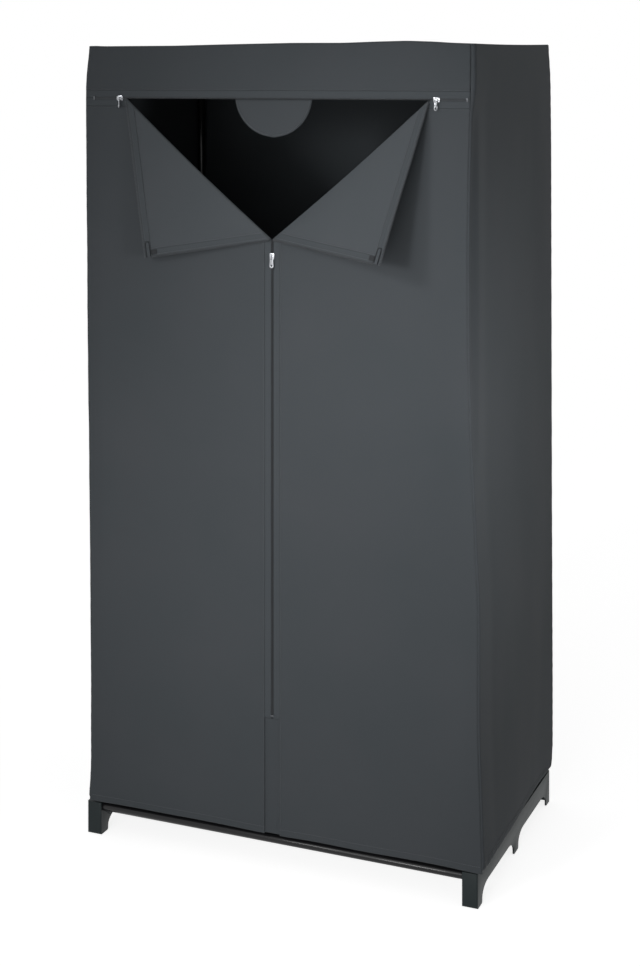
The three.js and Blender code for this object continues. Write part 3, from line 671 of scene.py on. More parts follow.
def sew():
    """Makes the collected stitches, one piece per body."""
    threads = {}
    for body, bars in stitch_rows.items():
        points, faces = [], []
        for start, end, across, outward in bars:
            first = len(points)
            for share, lift in STITCH_SHAPE:
                spot = start.lerp(end, share) + outward * lift * STITCH_HALF
                wide = across * STITCH_HALF * (0.5 + 0.5 * (lift > 0))
                points += [spot - wide, spot + outward * STITCH_HALF, spot + wide,
                           spot - outward * STITCH_HALF]
            faces += tube_faces(first, len(STITCH_SHAPE), 4, caps=1)
        threads[body] = new_piece(f"stitches_{body}", points, faces, body, sewing_thread)
        print("stitches on", body, len(bars))
    return threads


# %% [markdown]
# ## Front panels
#
# Each half of the front is one panel: straight along the zip, then cut back along the fold, up to
# the level zip. Its hem and its edges along both zips are doubled and stitched. At the corner it
# is sewn to the side panel, which wraps round the post, so that seam lies a little inside the
# corner. It has no stitches to see, it only draws the cloth in.

# %% Front panels
SEAM_DIP = 1.8 * MM
FOLD_EDGE = 0.4 * MM
FOLD_BOW = 3.2 * MM
NARROW_HEM = 4 * MM
HEM_STITCH = 11.5 * MM
EDGE_STITCH = 1.5 * MM
CUT_GAP = 0.1 * MM
PANEL_TOP = SEAM_BELOW - 0.3 * MM
NEARLY_ALL = (0.0003, 0.9997)
OUT = Vector((0, -1, 0))


def bow(z):
    """The weight of a folded corner draws its fold line into a slight curve."""
    return FOLD_BOW * math.sin(math.pi * within((z - PIVOT.z) / (CHAIN - PIVOT.z)))


def cut_x(z):
    """Where the front panel ends towards the middle: at the zip, and above it at the fold."""
    return max(TAPE, fold_x(z, FOLD_EDGE + bow(z)))


def hem_drop(a, z):
    """The hem isn't quite straight, and the cloth just above it follows."""
    return 1.3 * MM * drift(a / 0.1, 2.2, 8.8) * fade(z - HEM, 60 * MM)


def seam_dip(distance):
    """A sewn seam pulls the cloth's edge in."""
    return SEAM_DIP * fade(distance, 2.5 * MM)


def front_point(side, x, z):
    """A point of the front panel's outer face."""
    edge, far = x - cut_x(z), seam_x(z, side) - x
    sewn = fade(fold_x(z, FOLD_EDGE) - TAPE, 12 * MM)
    inside = smooth(0, 70 * MM, min(edge, far, SEAM_BELOW - z))
    inward = (2.2 * MM + drape(side * x, z, 3.0)) * inside
    inward -= hem_step(edge, NARROW_HEM) * sewn + hem_step(SEAM_BELOW - z, NARROW_HEM) * 0.6
    inward += pucker(far, z) + pucker(z - HEM, side * x) + pucker(edge, z) * sewn
    inward += seam_dip(far) + seam_sink(z) * fade(far, 34 * MM) - hem_step(z - HEM)
    return Vector((side * x, FRONT + max(inward, -0.3 * MM * sewn), z + hem_drop(side * x, z)))


def front_panel(word, side):
    turn = fold_z(TAPE, FOLD_EDGE)
    low = [mix(HEM, turn, s) for s in spread(150, 0.75)]
    high = [mix(turn, PANEL_TOP, s) for s in spread(40, 0.5)]

    def place(u, z):
        return front_point(side, mix(cut_x(z) + CUT_GAP, seam_x(z, side) - CUT_GAP, u), z)

    panel = cloth_piece(f"cover_front_{word}", spread(60, 0.86), low + high[1:], place, OUT)
    hem_line = [front_point(side, mix(TAPE, seam_x(HEM, side), s), HEM + HEM_STITCH)
                for s in spread(80)]
    edge_line = [front_point(side, TAPE + EDGE_STITCH, mix(HEM, turn, s)) for s in spread(160)]
    inner = fold_x(SEAM_BELOW) + 4 * MM
    top_line = [front_point(side, mix(inner, seam_x(SEAM_BELOW, side), s),
                            SEAM_BELOW - EDGE_STITCH) for s in spread(20)]
    for line in (hem_line, edge_line, top_line):
        stitch(line, OUT)
    return panel


front_panels = {word: front_panel(word, side) for word, side in SIDES.items()}
print("front panel faces:", len(front_panels["left"].data.polygons))

# %% [markdown]
# ## Side panels and back
#
# A side panel starts on the front face, turns the corner in a soft curve, runs back and turns the
# rear corner the same way. Its path is worked out once, as a corner, a straight run and a corner.

# %% Side panels and back
ALLOWANCE = 3.5 * MM
ALLOWANCE_BEHIND = 1.3 * MM
SEAM_START, SEAM_END = 0.02, 2.98
WALL_TOP = TOP - 1 * MM
SIDE_LIFT = 6.0 * MM


def wall_rise(x, y, z):
    """The walls' upper part follows the lift of the top edge."""
    return ridge(x, y) * smooth(120 * MM, 0, TOP - z)


def round_corner(angle, z, side, rear):
    """A point on the soft corner: angle 0 on the seam, a quarter turn on the side."""
    seam = rear_x(z, side) if rear else seam_x(z, side)
    edge = seam + CORNER_IN if rear else corner_x(z, side)
    x = seam + (edge - seam) * math.sin(angle)
    if rear:
        return x, BACK - CORNER_BACK * (1 - math.cos(angle))
    return x, FRONT + mix(seam_sink(z), CORNER_BACK, 1 - math.cos(angle))


def side_point(side, along, z):
    """Along is 0 on the front seam, 1 to 2 on the flat side, and 3 on the rear seam."""
    if along <= 1 or along >= 2:
        rear = along >= 2
        angle = (along if not rear else 3 - along) * math.pi / 2
        x, y = round_corner(angle, z, side, rear)
        out = Vector((side * math.sin(angle), math.cos(angle) * (1 if rear else -1), 0))
    else:
        y = mix(FRONT + CORNER_BACK, BACK - CORNER_BACK, along - 1)
        x = side_x(z, y, side)
        out = LEVEL * side
    from_ends = min(y - FRONT - POST_RIDGE, BACK - y, TOP - z)
    seam = min(along, 3 - along) * CORNER_IN
    inward = 1.5 * drape(y, z, 21.0 + side) * smooth(0, 110 * MM, from_ends)
    inward += pucker(min(y - FRONT, BACK - y), z, 30 * MM) * smooth(0.3, 1, min(along, 3 - along))
    inward += pucker(z - HEM, y) + seam_dip(seam) - hem_step(z - HEM - SIDE_LIFT)
    drop = hem_drop(y + 2 * side, z) * smooth(0, 1, seam / CORNER_IN)
    return Vector((side * x, y, z + drop + wall_rise(side * x, y, z))) - out * inward


def side_with_allowance(side, along, z):
    """The side panel, with a strip at both ends that is sewn behind the next panel."""
    if SEAM_START <= along <= SEAM_END:
        return side_point(side, along, z)
    spot = side_point(side, SEAM_START if along < 1 else SEAM_END, z)
    behind = ALLOWANCE_BEHIND if along < 1 else -ALLOWANCE_BEHIND
    return spot + Vector((-side * ALLOWANCE, behind, 0))


def side_panel(word, side):
    corner = [0, SEAM_START] + spread(10)[1:]
    along = corner + [1 + s for s in spread(60, 0.6)[1:]] + [3 - s for s in corner[-2::-1]]
    up = [mix(HEM + SIDE_LIFT, WALL_TOP, s) for s in spread(150, 0.8)]
    panel = cloth_piece(f"cover_side_{word}", along, up,
                        lambda a, z: side_with_allowance(side, a, z), LEVEL * side)
    hem_line = [side_point(side, mix(0.9, 2.1, s), HEM + SIDE_LIFT + HEM_STITCH)
                for s in spread(90)]
    stitch(hem_line, LEVEL * side)
    return panel


def back_point(x, z):
    edge = min(rear_x(z, 1 if x > 0 else -1) - abs(x), TOP - z)
    inward = (2.4 * MM + 1.5 * drape(x, z, 40.0)) * smooth(0, 80 * MM, edge)
    inward += pucker(z - HEM, x) + seam_dip(edge) - hem_step(z - HEM)
    return Vector((x, BACK - inward, z + hem_drop(x + 5, z) + wall_rise(x, BACK, z)))


def back_panel():
    up = [mix(HEM, WALL_TOP, s) for s in spread(130, 0.8)]

    def place(u, z):
        return back_point(mix(-rear_x(z, -1), rear_x(z, 1), mix(*NEARLY_ALL, u)), z)

    stitch([back_point(mix(-rear_x(HEM, -1), rear_x(HEM, 1), mix(0.01, 0.99, s)),
                       HEM + HEM_STITCH) for s in spread(90)], INTO)
    return cloth_piece("cover_back", spread(90, 0.8), up, place, INTO)


side_panels = {word: side_panel(word, side) for word, side in SIDES.items()}
back_cloth = back_panel()
print("side panel faces:", len(side_panels["left"].data.polygons))

# %% [markdown]
# ## Roof and header
#
# The roof is sewn to the walls with a seam that stands up as a thin cord all round. Along the
# front the cloth is a little long, so the edge lifts towards the right before it drops to the
# corner. Header and roof share that lift, or they would come apart.

# %% Roof, header and the cord between them
CORD = 1.2 * MM


def roof_point(x, y):
    x, y = inside_walls(x, y)
    edge = min(shoulder(x) - abs(x), y - FRONT, BACK - y)
    sag = 3.5 * MM * smooth(25 * MM, 110 * MM, edge) + drape(x, y, 60.0) * smooth(0, 80 * MM, edge)
    return Vector((x, y, TOP + ridge(x, y) - sag - 0.6 * MM * fade(edge, 3 * MM)))


def header_point(x, z):
    """The band over the zips: z runs from the seam to the top, which lifts with the roof."""
    share = (z - SEAM_ABOVE) / (TOP - SEAM_ABOVE)
    side = 1 if x > 0 else -1
    far = seam_x(z, side) - abs(x)
    belly = smooth(0, 35 * MM, min(z - SEAM_ABOVE, TOP - z, far))
    inward = (1.2 * MM + 1.2 * drape(x, 3 * z, 80.0)) * belly
    inward += pucker(far, z) + pucker(TOP - z, x, 26 * MM, 31 * MM) * 1.6 + seam_dip(far)
    inward += 0.8 * MM * fade(TOP - z, 3 * MM) - hem_step(z - SEAM_ABOVE, NARROW_HEM)
    return Vector((x, FRONT + inward, z + ridge(x, FRONT) * share ** 2))


def place_header(u, v):
    z = mix(SEAM_ABOVE + 0.2 * MM, TOP, v)
    return header_point(mix(-seam_x(z, -1), seam_x(z, 1), mix(*NEARLY_ALL, u)), z)


roof_cloth = cloth_piece(
    "cover_roof", spread(70, 0.7), spread(50, 0.7),
    lambda u, v: roof_point(mix(-shoulder(-1), shoulder(1), u), mix(FRONT, BACK, v)), UP)
header_cloth = cloth_piece("cover_header", spread(120, 0.7), spread(36, 0.6), place_header, OUT)
stitch([header_point(mix(-HALF_TOP, HALF_TOP, s) * 0.985, SEAM_ABOVE + EDGE_STITCH)
        for s in spread(120)], OUT)
print("roof lifts by mm:", round(1000 * ridge(0.26, FRONT), 1))

# %% [markdown]
# The cord is a thin round bead that follows the roof's edge. It could be a curve with a bevel,
# but a mesh ring at each point keeps it one plain closed piece.

# %% Sweep a bead along a line


def bead(name, line, radius, body, material, sides=8, closed=True):
    """A round bead along a line of points."""
    points = []
    count = len(line)
    for i, spot in enumerate(line):
        before = line[i - 1] if closed or i else line[i]
        after = line[(i + 1) % count] if closed or i < count - 1 else line[i]
        ahead = (after - before).normalized()
        up = UP if abs(ahead.z) < 0.9 else INTO
        across = ahead.cross(up).normalized()
        rise = across.cross(ahead)
        for k in range(sides):
            angle = 2 * math.pi * k / sides
            points.append(spot + radius * (math.cos(angle) * across + math.sin(angle) * rise))
    faces = tube_faces(0, count, sides, caps=0 if closed else -1)
    return new_piece(name, points, faces, body, material)


def roof_edge():
    left, right = -shoulder(-1), shoulder(1)
    corners = [(left, FRONT), (right, FRONT), (right, BACK), (left, BACK)]
    line = []
    for (ax, ay), (bx, by) in zip(corners, corners[1:] + corners[:1]):
        for s in spread(140, 0.9)[:-1]:
            x, y = inside_walls(mix(ax, bx, s), mix(ay, by, s))
            inset = 1 - 0.5 * MM / HALF_TOP
            line.append(Vector((x * inset, y * inset, TOP + ridge(x, y) - 0.9 * MM)))
    return line


roof_cord = bead("roof_seam", roof_edge(), CORD, "wardrobe", cover_cloth)
edge_line = roof_edge()
print("seam cord, mm:", round(sum((a - b).length for a, b in zip(edge_line, edge_line[1:])) * 1000))

# %% [markdown]
# ## Tongue and placket
#
# A half-round tongue of cloth hangs behind the place where the three zips meet. Below the
# zip's end stop the gap is closed by a plain strip, the placket, which creases a little near the
# floor because nothing holds it there.

# %% Tongue and placket
tongue_low, tongue_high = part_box("cover_tongue")
TONGUE_R = tongue_high.x
TONGUE_MIDDLE = tongue_low.z + TONGUE_R
TONGUE_FACE = tongue_high.y - 1.0 * MM
TONGUE_STRAIGHT = 0.2
PLACKET_BEHIND = 1.9 * MM
PLACKET_TUCK = 4 * MM
CREASE_UP = 26 * MM


def tongue_point(u, v):
    """v runs from the sewn top edge, past the middle, down to the round tip."""
    if v < TONGUE_STRAIGHT:
        z, wide = mix(tongue_high.z, TONGUE_MIDDLE, v / TONGUE_STRAIGHT), TONGUE_R
    else:
        angle = min((v - TONGUE_STRAIGHT) / (1 - TONGUE_STRAIGHT) * math.pi / 2, 1.5)
        z, wide = TONGUE_MIDDLE - TONGUE_R * math.sin(angle), TONGUE_R * math.cos(angle)
    x = mix(-wide, wide, u)
    rim = TONGUE_R - math.hypot(x, min(z - TONGUE_MIDDLE, 0))
    wave = max(0.5 * drape(x, z, 91.0) * smooth(0, 40 * MM, tongue_high.z - z), -0.1 * MM)
    return Vector((x, TONGUE_FACE - max(hem_step(rim, NARROW_HEM), -0.2 * MM) + wave, z))


def placket_point(x, z):
    lean = 0.25 * (z - HEM - CREASE_UP)
    crease = hump(z, HEM + CREASE_UP, 16 * MM) * hump(x, 9 * MM + lean, 2.2 * MM)
    soft = (0.8 * MM + 0.4 * drape(x, z, 77.0)) * smooth(0, 5 * MM, TAPE - abs(x))
    return Vector((x, FRONT + PLACKET_BEHIND + soft - 1.5 * MM * crease, z + hem_drop(x, z)))


placket_low, placket_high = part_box("cover_placket")
tongue_cloth = cloth_piece("cover_tongue", spread(40, 0.6), spread(40, 0.2), tongue_point, OUT)
placket_cloth = cloth_piece(
    "cover_placket", spread(24), spread(60, 0.5),
    lambda u, v: placket_point(mix(placket_low.x - PLACKET_TUCK, placket_high.x + PLACKET_TUCK, u),
                               mix(HEM + 1 * MM, placket_high.z, v)), OUT)
hem_round = TONGUE_R - 3 * MM
tongue_hem = [Vector((math.sin(a) * hem_round, TONGUE_FACE - 0.5 * MM,
                      TONGUE_MIDDLE - math.cos(a) * hem_round))
              for a in (mix(-1.5, 1.5, s) for s in spread(60))]
stitch(tongue_hem, OUT)
print("tongue radius, mm:", round(1000 * TONGUE_R))

# %% [markdown]
# ## Folded corners
#
# The two corners are modelled closed, flat in the front, and then turned open about their fold
# lines by the angle that the frame's joints give. That way a corner and its zips are drawn in
# plain x and z, and they still close exactly. Cloth that is folded back bellies out a little.

# %% Folded corner cloth
CORNER_BELLY = 3.5 * MM


def opened(word):
    """The turn that takes a corner from closed to the way it is folded open."""
    joint = joints[f"flap_{word}_fold"]
    turn = Matrix.Rotation(-math.radians(joint["range_deg"][1]), 4, Vector(joint["axis"]))
    spot = Vector(joint["pos_m"])
    return Matrix.Translation(spot) @ turn @ Matrix.Translation(-spot)


def corner_wave(x, z):
    """The corner's loose edges wave in and out a little; along the fold it doesn't."""
    off = (fold_x(z) - x) / FOLD_SECANT
    return 1.6 * MM * smooth(20 * MM, 150 * MM, off) * math.sin(off / 0.055 + z / 0.12)


def corner_point(side, x, z):
    start, foot = TAPE, fold_z(TAPE, -FOLD_EDGE)
    far = fold_x(z, -FOLD_EDGE - bow(z))
    share = (x - start) / max(far - start, 1e-6)
    rise = (z - foot) / (SEAM_BELOW - foot)
    belly = CORNER_BELLY * math.sin(within(share) * math.pi) * math.sin(within(rise) * math.pi)
    sewn = hem_step(x - start, NARROW_HEM) + hem_step(SEAM_BELOW - z, NARROW_HEM)
    from_edges = min(far - x, x - start, SEAM_BELOW - z)
    soft = 0.7 * drape(side * x, z, 33.0) * smooth(0, 50 * MM, from_edges)
    return Vector((side * x, FRONT + belly + soft - 0.4 * sewn + corner_wave(x, z), z))


def corner_cloth(word, side):
    move = opened(word)
    foot = fold_z(TAPE, -FOLD_EDGE) + 1 * MM

    def place(u, v):
        z = mix(foot, PANEL_TOP, v)
        outer = fold_x(z, -FOLD_EDGE - bow(z)) - CUT_GAP
        return corner_point(side, mix(TAPE + CUT_GAP, outer, u), z)

    cloth = cloth_piece(f"flap_{word}_cloth", spread(48, 0.7), spread(56, 0.4), place, OUT,
                        body=f"flap_{word}", move=move)
    outer = fold_x(SEAM_BELOW) - 6 * MM
    lines = [[(TAPE + EDGE_STITCH, mix(foot + 6 * MM, SEAM_BELOW, s)) for s in spread(60)],
             [(mix(TAPE, outer, s), SEAM_BELOW - EDGE_STITCH) for s in spread(60)]]
    for line in lines:
        spots = [corner_point(side, x, z) + INTO * CLOTH for x, z in line]
        stitch(spots, INTO, f"flap_{word}", move)
    return cloth


corner_cloths = {word: corner_cloth(word, side) for word, side in SIDES.items()}
print("corners folded by degrees:",
      [round(joints[f"flap_{word}_fold"]["range_deg"][1]) for word in SIDES])

# %% [markdown]
# The cloth doesn't end at the fold, it rolls over it. A thin half-round roll joins the panel's
# edge to the corner's edge. It is drawn once, with the corner folded open, and rides on no
# body, so it doesn't turn when the corner does.

# %% The roll along each fold
ROLL_IN = PIVOT.y - FRONT


def fold_roll(word, side):
    stand_off = math.pi - math.radians(joints[f"flap_{word}_fold"]["range_deg"][1])
    inner = abs(ROLL_IN)
    outer = inner + CLOTH
    along = Vector((side * FOLD_SLOPE, 0, 1)).normalized()
    to_panel = Vector((side, 0, -FOLD_SLOPE)).normalized()
    length = (CHAIN - PIVOT.z - 1 * MM) * FOLD_SECANT
    steps, turns = 90, 12
    points, faces = [], []
    for i in range(steps + 1):
        spot = PIVOT + along * mix(1.5 * MM, length, i / steps)
        spot = spot + to_panel * bow(spot.z)
        for k in range(turns + 1):
            angle = mix(-math.pi / 2, -3 * math.pi / 2 + stand_off, k / turns)
            ray = to_panel * math.cos(angle) + INTO * -math.sin(angle)
            points += [spot + ray * inner, spot + ray * outer]
    ring = 2 * (turns + 1)
    for i in range(steps):
        for k in range(turns):
            a = i * ring + 2 * k
            b = a + ring
            faces += [(a, a + 2, b + 2, b), (a + 1, b + 1, b + 3, a + 3)]
        a, b = i * ring, (i + 1) * ring
        faces += [(a, b, b + 1, a + 1), (a + ring - 2, a + ring - 1, b + ring - 1, b + ring - 2)]
    for base, order in ((0, 1), (steps * ring, -1)):
        for k in range(turns):
            a = base + 2 * k
            faces.append((a, a + 1, a + 3, a + 2)[::order])
    roll = new_piece(f"fold_roll_{word}", points, faces, None, cover_cloth)
    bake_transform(roll)
    return roll


rolls = {word: fold_roll(word, side) for word, side in SIDES.items()}
print("roll thickness, mm:", round(2000 * (abs(ROLL_IN) + CLOTH), 2))

# %% [markdown]
# ## Zips
#
# A zip half is a woven tape with a row of teeth along one edge. Each tooth is a small waisted
# block: a foot on the tape, a neck and a wider head that hooks between the heads opposite. They
# are set half a step apart on the two halves, counted from the middle of the object, so that any
# two halves that meet interlock. One function makes every half, level or upright.

# %% Zip halves
TOOTH_STEP = 2.5 * MM
# Distance from the chain's middle, half width and half thickness of a tooth, in mm
TOOTH_SECTIONS = [(3.3, 0.5, 0.9), (2.0, 0.45, 1.25), (0.9, 0.58, 1.3), (-0.5, 0.58, 1.15),
                  (-0.9, 0.4, 0.8)]
# Once round a section, in shares of its half width and half thickness
TOOTH_ROUND = [(-1, -0.6), (-0.6, -1), (0.6, -1), (1, -0.6), (1, 0.6), (0.6, 1), (-0.6, 1),
               (-1, 0.6)]
TAPE_THICK = 0.8 * MM
TAPE_TUCK = 0.2 * MM


def half_zip(name, origin, along, across, tape_ends, teeth_ends, phase=0.0, body="wardrobe",
             move=None, wave=lambda spot: 0.0, inner=1.9 * MM, tooth_material=zip_teeth):
    """Tape and teeth: along runs up the zip, across runs from the teeth to the tape's edge."""
    def place(u, v):
        reach = mix(inner, TAPE + TAPE_TUCK, u)
        low, high = tape_ends(reach)
        spot = origin + across * reach + along * mix(low, high, v)
        rib = 0.12 * MM * math.sin(u * 6 * math.pi)
        return spot + INTO * wave(spot) + OUT * (TAPE_THICK / 2 + rib)

    low, high = tape_ends(TAPE / 2)
    rows = max(int((high - low) / (4 * MM)), 2)
    tape = cloth_piece(name, spread(10), spread(rows), place, OUT, tape_cloth,
                       body, thick=TAPE_THICK, move=move)
    points, faces = [], []
    first_step, last_step = (end / TOOTH_STEP - phase for end in teeth_ends)
    for step in range(math.ceil(first_step), math.floor(last_step) + 1):
        faces += tube_faces(len(points), len(TOOTH_SECTIONS), len(TOOTH_ROUND), caps=1)
        for reach, wide, thick in TOOTH_SECTIONS:
            spot = origin + across * reach * MM + along * (step + phase) * TOOTH_STEP
            spot = spot + INTO * wave(spot)
            points += [spot + along * a * wide * MM + OUT * b * thick * MM
                       for a, b in TOOTH_ROUND]
    if along.cross(OUT).dot(across) > 0:
        faces = [tuple(reversed(face)) for face in faces]
    if move:
        points = [move @ p for p in points]
    teeth = new_piece(f"{name}_teeth", points, faces, body, tooth_material)
    return tape, teeth


zip_pieces = {}
STOP_GAP = 0.3 * MM
ZIP_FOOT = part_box("centre_zip_left")[0].z
TEETH_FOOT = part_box("centre_stop")[1].z + STOP_GAP
# The centre halves keep the dark teeth, whose colour partly paints the shade in the grooves beside
# the chain.
for word, side in SIDES.items():
    zip_pieces[word] = half_zip(
        f"centre_zip_{word}", Vector((0, CHAIN_PLANE, 0)), UP, LEVEL * side,
        lambda reach: (ZIP_FOOT, fold_z(reach, FOLD_EDGE)),
        (TEETH_FOOT, fold_z(3 * MM, FOLD_EDGE)), phase=0.25 * (1 + side))
print("points in the teeth of a half:", len(zip_pieces["left"][1].data.vertices))

# %% [markdown]
# The level zip has one long upper half and a short lower stretch at each side, outside the folds.
# The rest of its lower half is sewn to the folded corners, so it turned over with them.

# %% The level zip and the corners' halves
ZIP_REACH = {word: seam_x(CHAIN, side) - 0.2 * MM for word, side in SIDES.items()}
TEETH_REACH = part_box("header_stop_right")[0].x - STOP_GAP
UPPER_INNER = 1.1 * MM
LOWER_INNER = -0.9 * MM
TAPE_STITCH = 5.3 * MM
CHAIN_GAP = 0.6 * MM

# The level zip's teeth are painted as pale as the cloth, which paints out the shade between its
# tapes.
zip_pieces["upper"] = half_zip(
    "header_zip_upper", Vector((0, CHAIN_PLANE, CHAIN)), LEVEL, UP,
    lambda reach: (-ZIP_REACH["left"], ZIP_REACH["right"]), (-TEETH_REACH, TEETH_REACH),
    inner=UPPER_INNER, tooth_material=covered_teeth)
# The corners' halves get the paler teeth, a painted highlight along their folded-back edges.
for word, side in SIDES.items():
    zip_pieces[f"lower_{word}"] = half_zip(
        f"header_zip_lower_{word}", Vector((0, CHAIN_PLANE, CHAIN)), LEVEL * side, -UP,
        lambda reach: (fold_x(CHAIN - reach, FOLD_EDGE), ZIP_REACH[word]),
        (fold_x(CHAIN - 2 * MM, FOLD_EDGE), TEETH_REACH), phase=0.5, inner=LOWER_INNER,
        tooth_material=covered_teeth)
    shared = {"body": f"flap_{word}", "move": opened(word), "tooth_material": turned_teeth,
              "wave": lambda p: corner_wave(abs(p.x), p.z)}
    zip_pieces[f"side_{word}"] = half_zip(
        f"flap_{word}_side_zip", Vector((0, CHAIN_PLANE, 0)), UP, LEVEL * side,
        lambda reach: (fold_z(reach, -FOLD_EDGE), SEAM_BELOW),
        (fold_z(0, -3 * MM), SEAM_BELOW), phase=0.25 * (1 + side), **shared)
    zip_pieces[f"top_{word}"] = half_zip(
        f"flap_{word}_top_zip", Vector((0, CHAIN_PLANE, CHAIN)), LEVEL * side, -UP,
        lambda reach: (CHAIN_GAP, fold_x(CHAIN - reach, -FOLD_EDGE)),
        (CHAIN_GAP, fold_x(CHAIN, -4 * MM)), phase=0.5, **shared)
    foot, outer = fold_z(5 * MM, -6 * MM), fold_x(CHAIN, -12 * MM)
    lines = [[(TAPE_STITCH, mix(foot, CHAIN - 4 * MM, s)) for s in spread(60)],
             [(mix(4 * MM, outer, s), CHAIN - TAPE_STITCH) for s in spread(60)]]
    for line in lines:
        spots = [Vector((side * x, CHAIN_PLANE + TAPE_THICK / 2 + corner_wave(x, z), z))
                 for x, z in line]
        stitch(spots, INTO, f"flap_{word}", opened(word))
print("zip pieces:", 2 * len(zip_pieces))

# %% [markdown]
# At each free corner the tape's raw ends are covered by two short bands. They are thin sheets with
# softly rounded ends, set on the inner side of the cloth, which now faces out. The longer one is
# edged with a dark cord on three sides, so it gets a bead of its own, not a painted line.

# %% Bands on the corners
# For each band the span in x, and in z from the chain, in mm
TABS = {"long": ((0.6, 30.6), (-13.6, -5.0)), "short": ((5.0, 13.6), (-27.0, -15.0))}
TAB_FACE = CHAIN_PLANE + TAPE_THICK / 2 + 1.2 * MM
# Where the cord runs: x from the middle and z from the chain, in mm
BINDING_LINE = [(1.4, -5.4), (24.0, -5.4), (29.0, -6.6), (30.2, -9.3), (29.0, -12.0),
                (24.0, -13.2), (1.4, -13.2)]


def tab_point(side, x, z, down=0.0):
    """A point on the bands' face, with x and z in mm from the middle and from the chain."""
    x, z = x * MM, CHAIN + z * MM
    return Vector((side * x, TAB_FACE - down + corner_wave(x, z), z))


def band(word, side, kind):
    across, up = TABS[kind]

    def place(u, v):
        round_off = smooth(0.85, 1, abs(2 * u - 1)) + smooth(0.8, 1, abs(2 * v - 1))
        return tab_point(side, mix(*across, u), mix(*up, v), 0.35 * MM * round_off)

    finish = tape_cloth if kind == "long" else band_cloth
    return cloth_piece(f"flap_{word}_{kind}_tab", spread(16), spread(10), place, INTO,
                       finish, f"flap_{word}", thick=0.9 * MM, move=opened(word))


def binding(word, side):
    """A dark cord sewn round three sides of the long band."""
    line = walk([tab_point(side, x, z) for x, z in BINDING_LINE], 1.5 * MM)
    return bead(f"flap_{word}_binding", [opened(word) @ p for p in line], 0.8 * MM,
                f"flap_{word}", edge_binding, closed=False)


bands = {word: [band(word, side, kind) for kind in TABS] for word, side in SIDES.items()}
for word, side in SIDES.items():
    bands[word].append(binding(word, side))
threads = sew()
print("bands:", len(bands), "stitched bodies:", list(threads))

# %% [markdown]
# ## Turned tube
#
# Posts, cross tubes, the hanging rail and the sleeves are round all along, so each is a small
# profile turned about its axis: outside, rolled lip, bore and lip again. A plain cylinder would
# have knife edges and no bore.

# %% Tubes and sleeves
TURN_SIDES = 48
TUBE_WALL, TUBE_LIP = 1.0 * MM, 0.4 * MM
SLEEVE_WALL, SLEEVE_LIP = 1.8 * MM, 0.9 * MM


def turned(node, wall, lip, material):
    """A pipe that fills the box of a node, with rolled lips."""
    low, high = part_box(node)
    size = high - low
    axis = max(range(3), key=lambda i: size[i])
    middle = (low + high) / 2
    radius = min(size[(axis + 1) % 3], size[(axis + 2) % 3]) / 2
    half = size[axis] / 2
    mouth = [(radius - lip, -half), (radius - 0.3 * lip, -half + 0.3 * lip), (radius, -half + lip)]
    profile = mouth + [(r, -s) for r, s in reversed(mouth)]
    profile += [(radius - wall, half), (radius - wall, -half)]
    ends = [Vector([float(i == k) for i in range(3)]) for k in range(3)]
    ahead, u, v = ends[axis], ends[(axis + 1) % 3], ends[(axis + 2) % 3]
    points, faces = [], []
    for k in range(TURN_SIDES):
        angle = 2 * math.pi * k / TURN_SIDES
        ray = u * math.cos(angle) + v * math.sin(angle)
        points += [middle + ray * r + ahead * s for r, s in profile]
    n = len(profile)
    for k in range(TURN_SIDES):
        for i in range(n):
            a, b = k * n, ((k + 1) % TURN_SIDES) * n
            faces.append((a + i, b + i, b + (i + 1) % n, a + (i + 1) % n))
    piece = new_piece(f"{node}_turned", points, faces, "wardrobe", material, (node,))
    soften(piece, 50)
    return piece


tubes = [n for n in frame["nodes"] if "_post_" in n or "_tube_" in n or n == "hanging_rail"]
sleeves = [n for n in frame["nodes"] if n.startswith("post_sleeve")]
for node in tubes:
    turned(node, TUBE_WALL, TUBE_LIP, gloss_paint)
for node in sleeves:
    turned(node, SLEEVE_WALL, SLEEVE_LIP, moulded_plastic)
print("tubes:", len(tubes), "sleeves:", len(sleeves))

# %% [markdown]
# ## Moulded sides and metal
#
# The frame already has the true shape of the moulded sides, the sliders and their pulls. What it
# lacks is soft edges: a mould leaves a small radius on every edge, and that radius is what
# catches light. So these pieces are copied, cleaned and given bevels.

# %% Soft-edged copies
WELD = 0.005 * MM
FLAT_ANGLE, EDGE_ANGLE = math.radians(1), math.radians(32)


def soft_copy(node, body, width, material, slot):
    """A copy of a node's shape with rounded edges."""
    mesh = bpy.data.meshes.new(node)
    work = bmesh.new()
    work.from_mesh(frame["nodes"][node].data)
    bmesh.ops.remove_doubles(work, verts=work.verts, dist=WELD)
    bmesh.ops.dissolve_limit(work, angle_limit=FLAT_ANGLE, verts=work.verts, edges=work.edges)
    work.to_mesh(mesh)
    work.free()
    if "custom_normal" in mesh.attributes:
        mesh.attributes.remove(mesh.attributes["custom_normal"])
    mesh.materials.clear()
    mesh.materials.append(material)
    piece = add(node + "_finished", mesh)
    bevel = piece.modifiers.new("edges", "BEVEL")
    bevel.width = width
    bevel.segments = 2
    bevel.limit_method = "ANGLE"
    bevel.angle_limit = EDGE_ANGLE
    settle(piece)
    soften(piece, 40)
    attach(piece, body)
    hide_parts(node)
    return piece


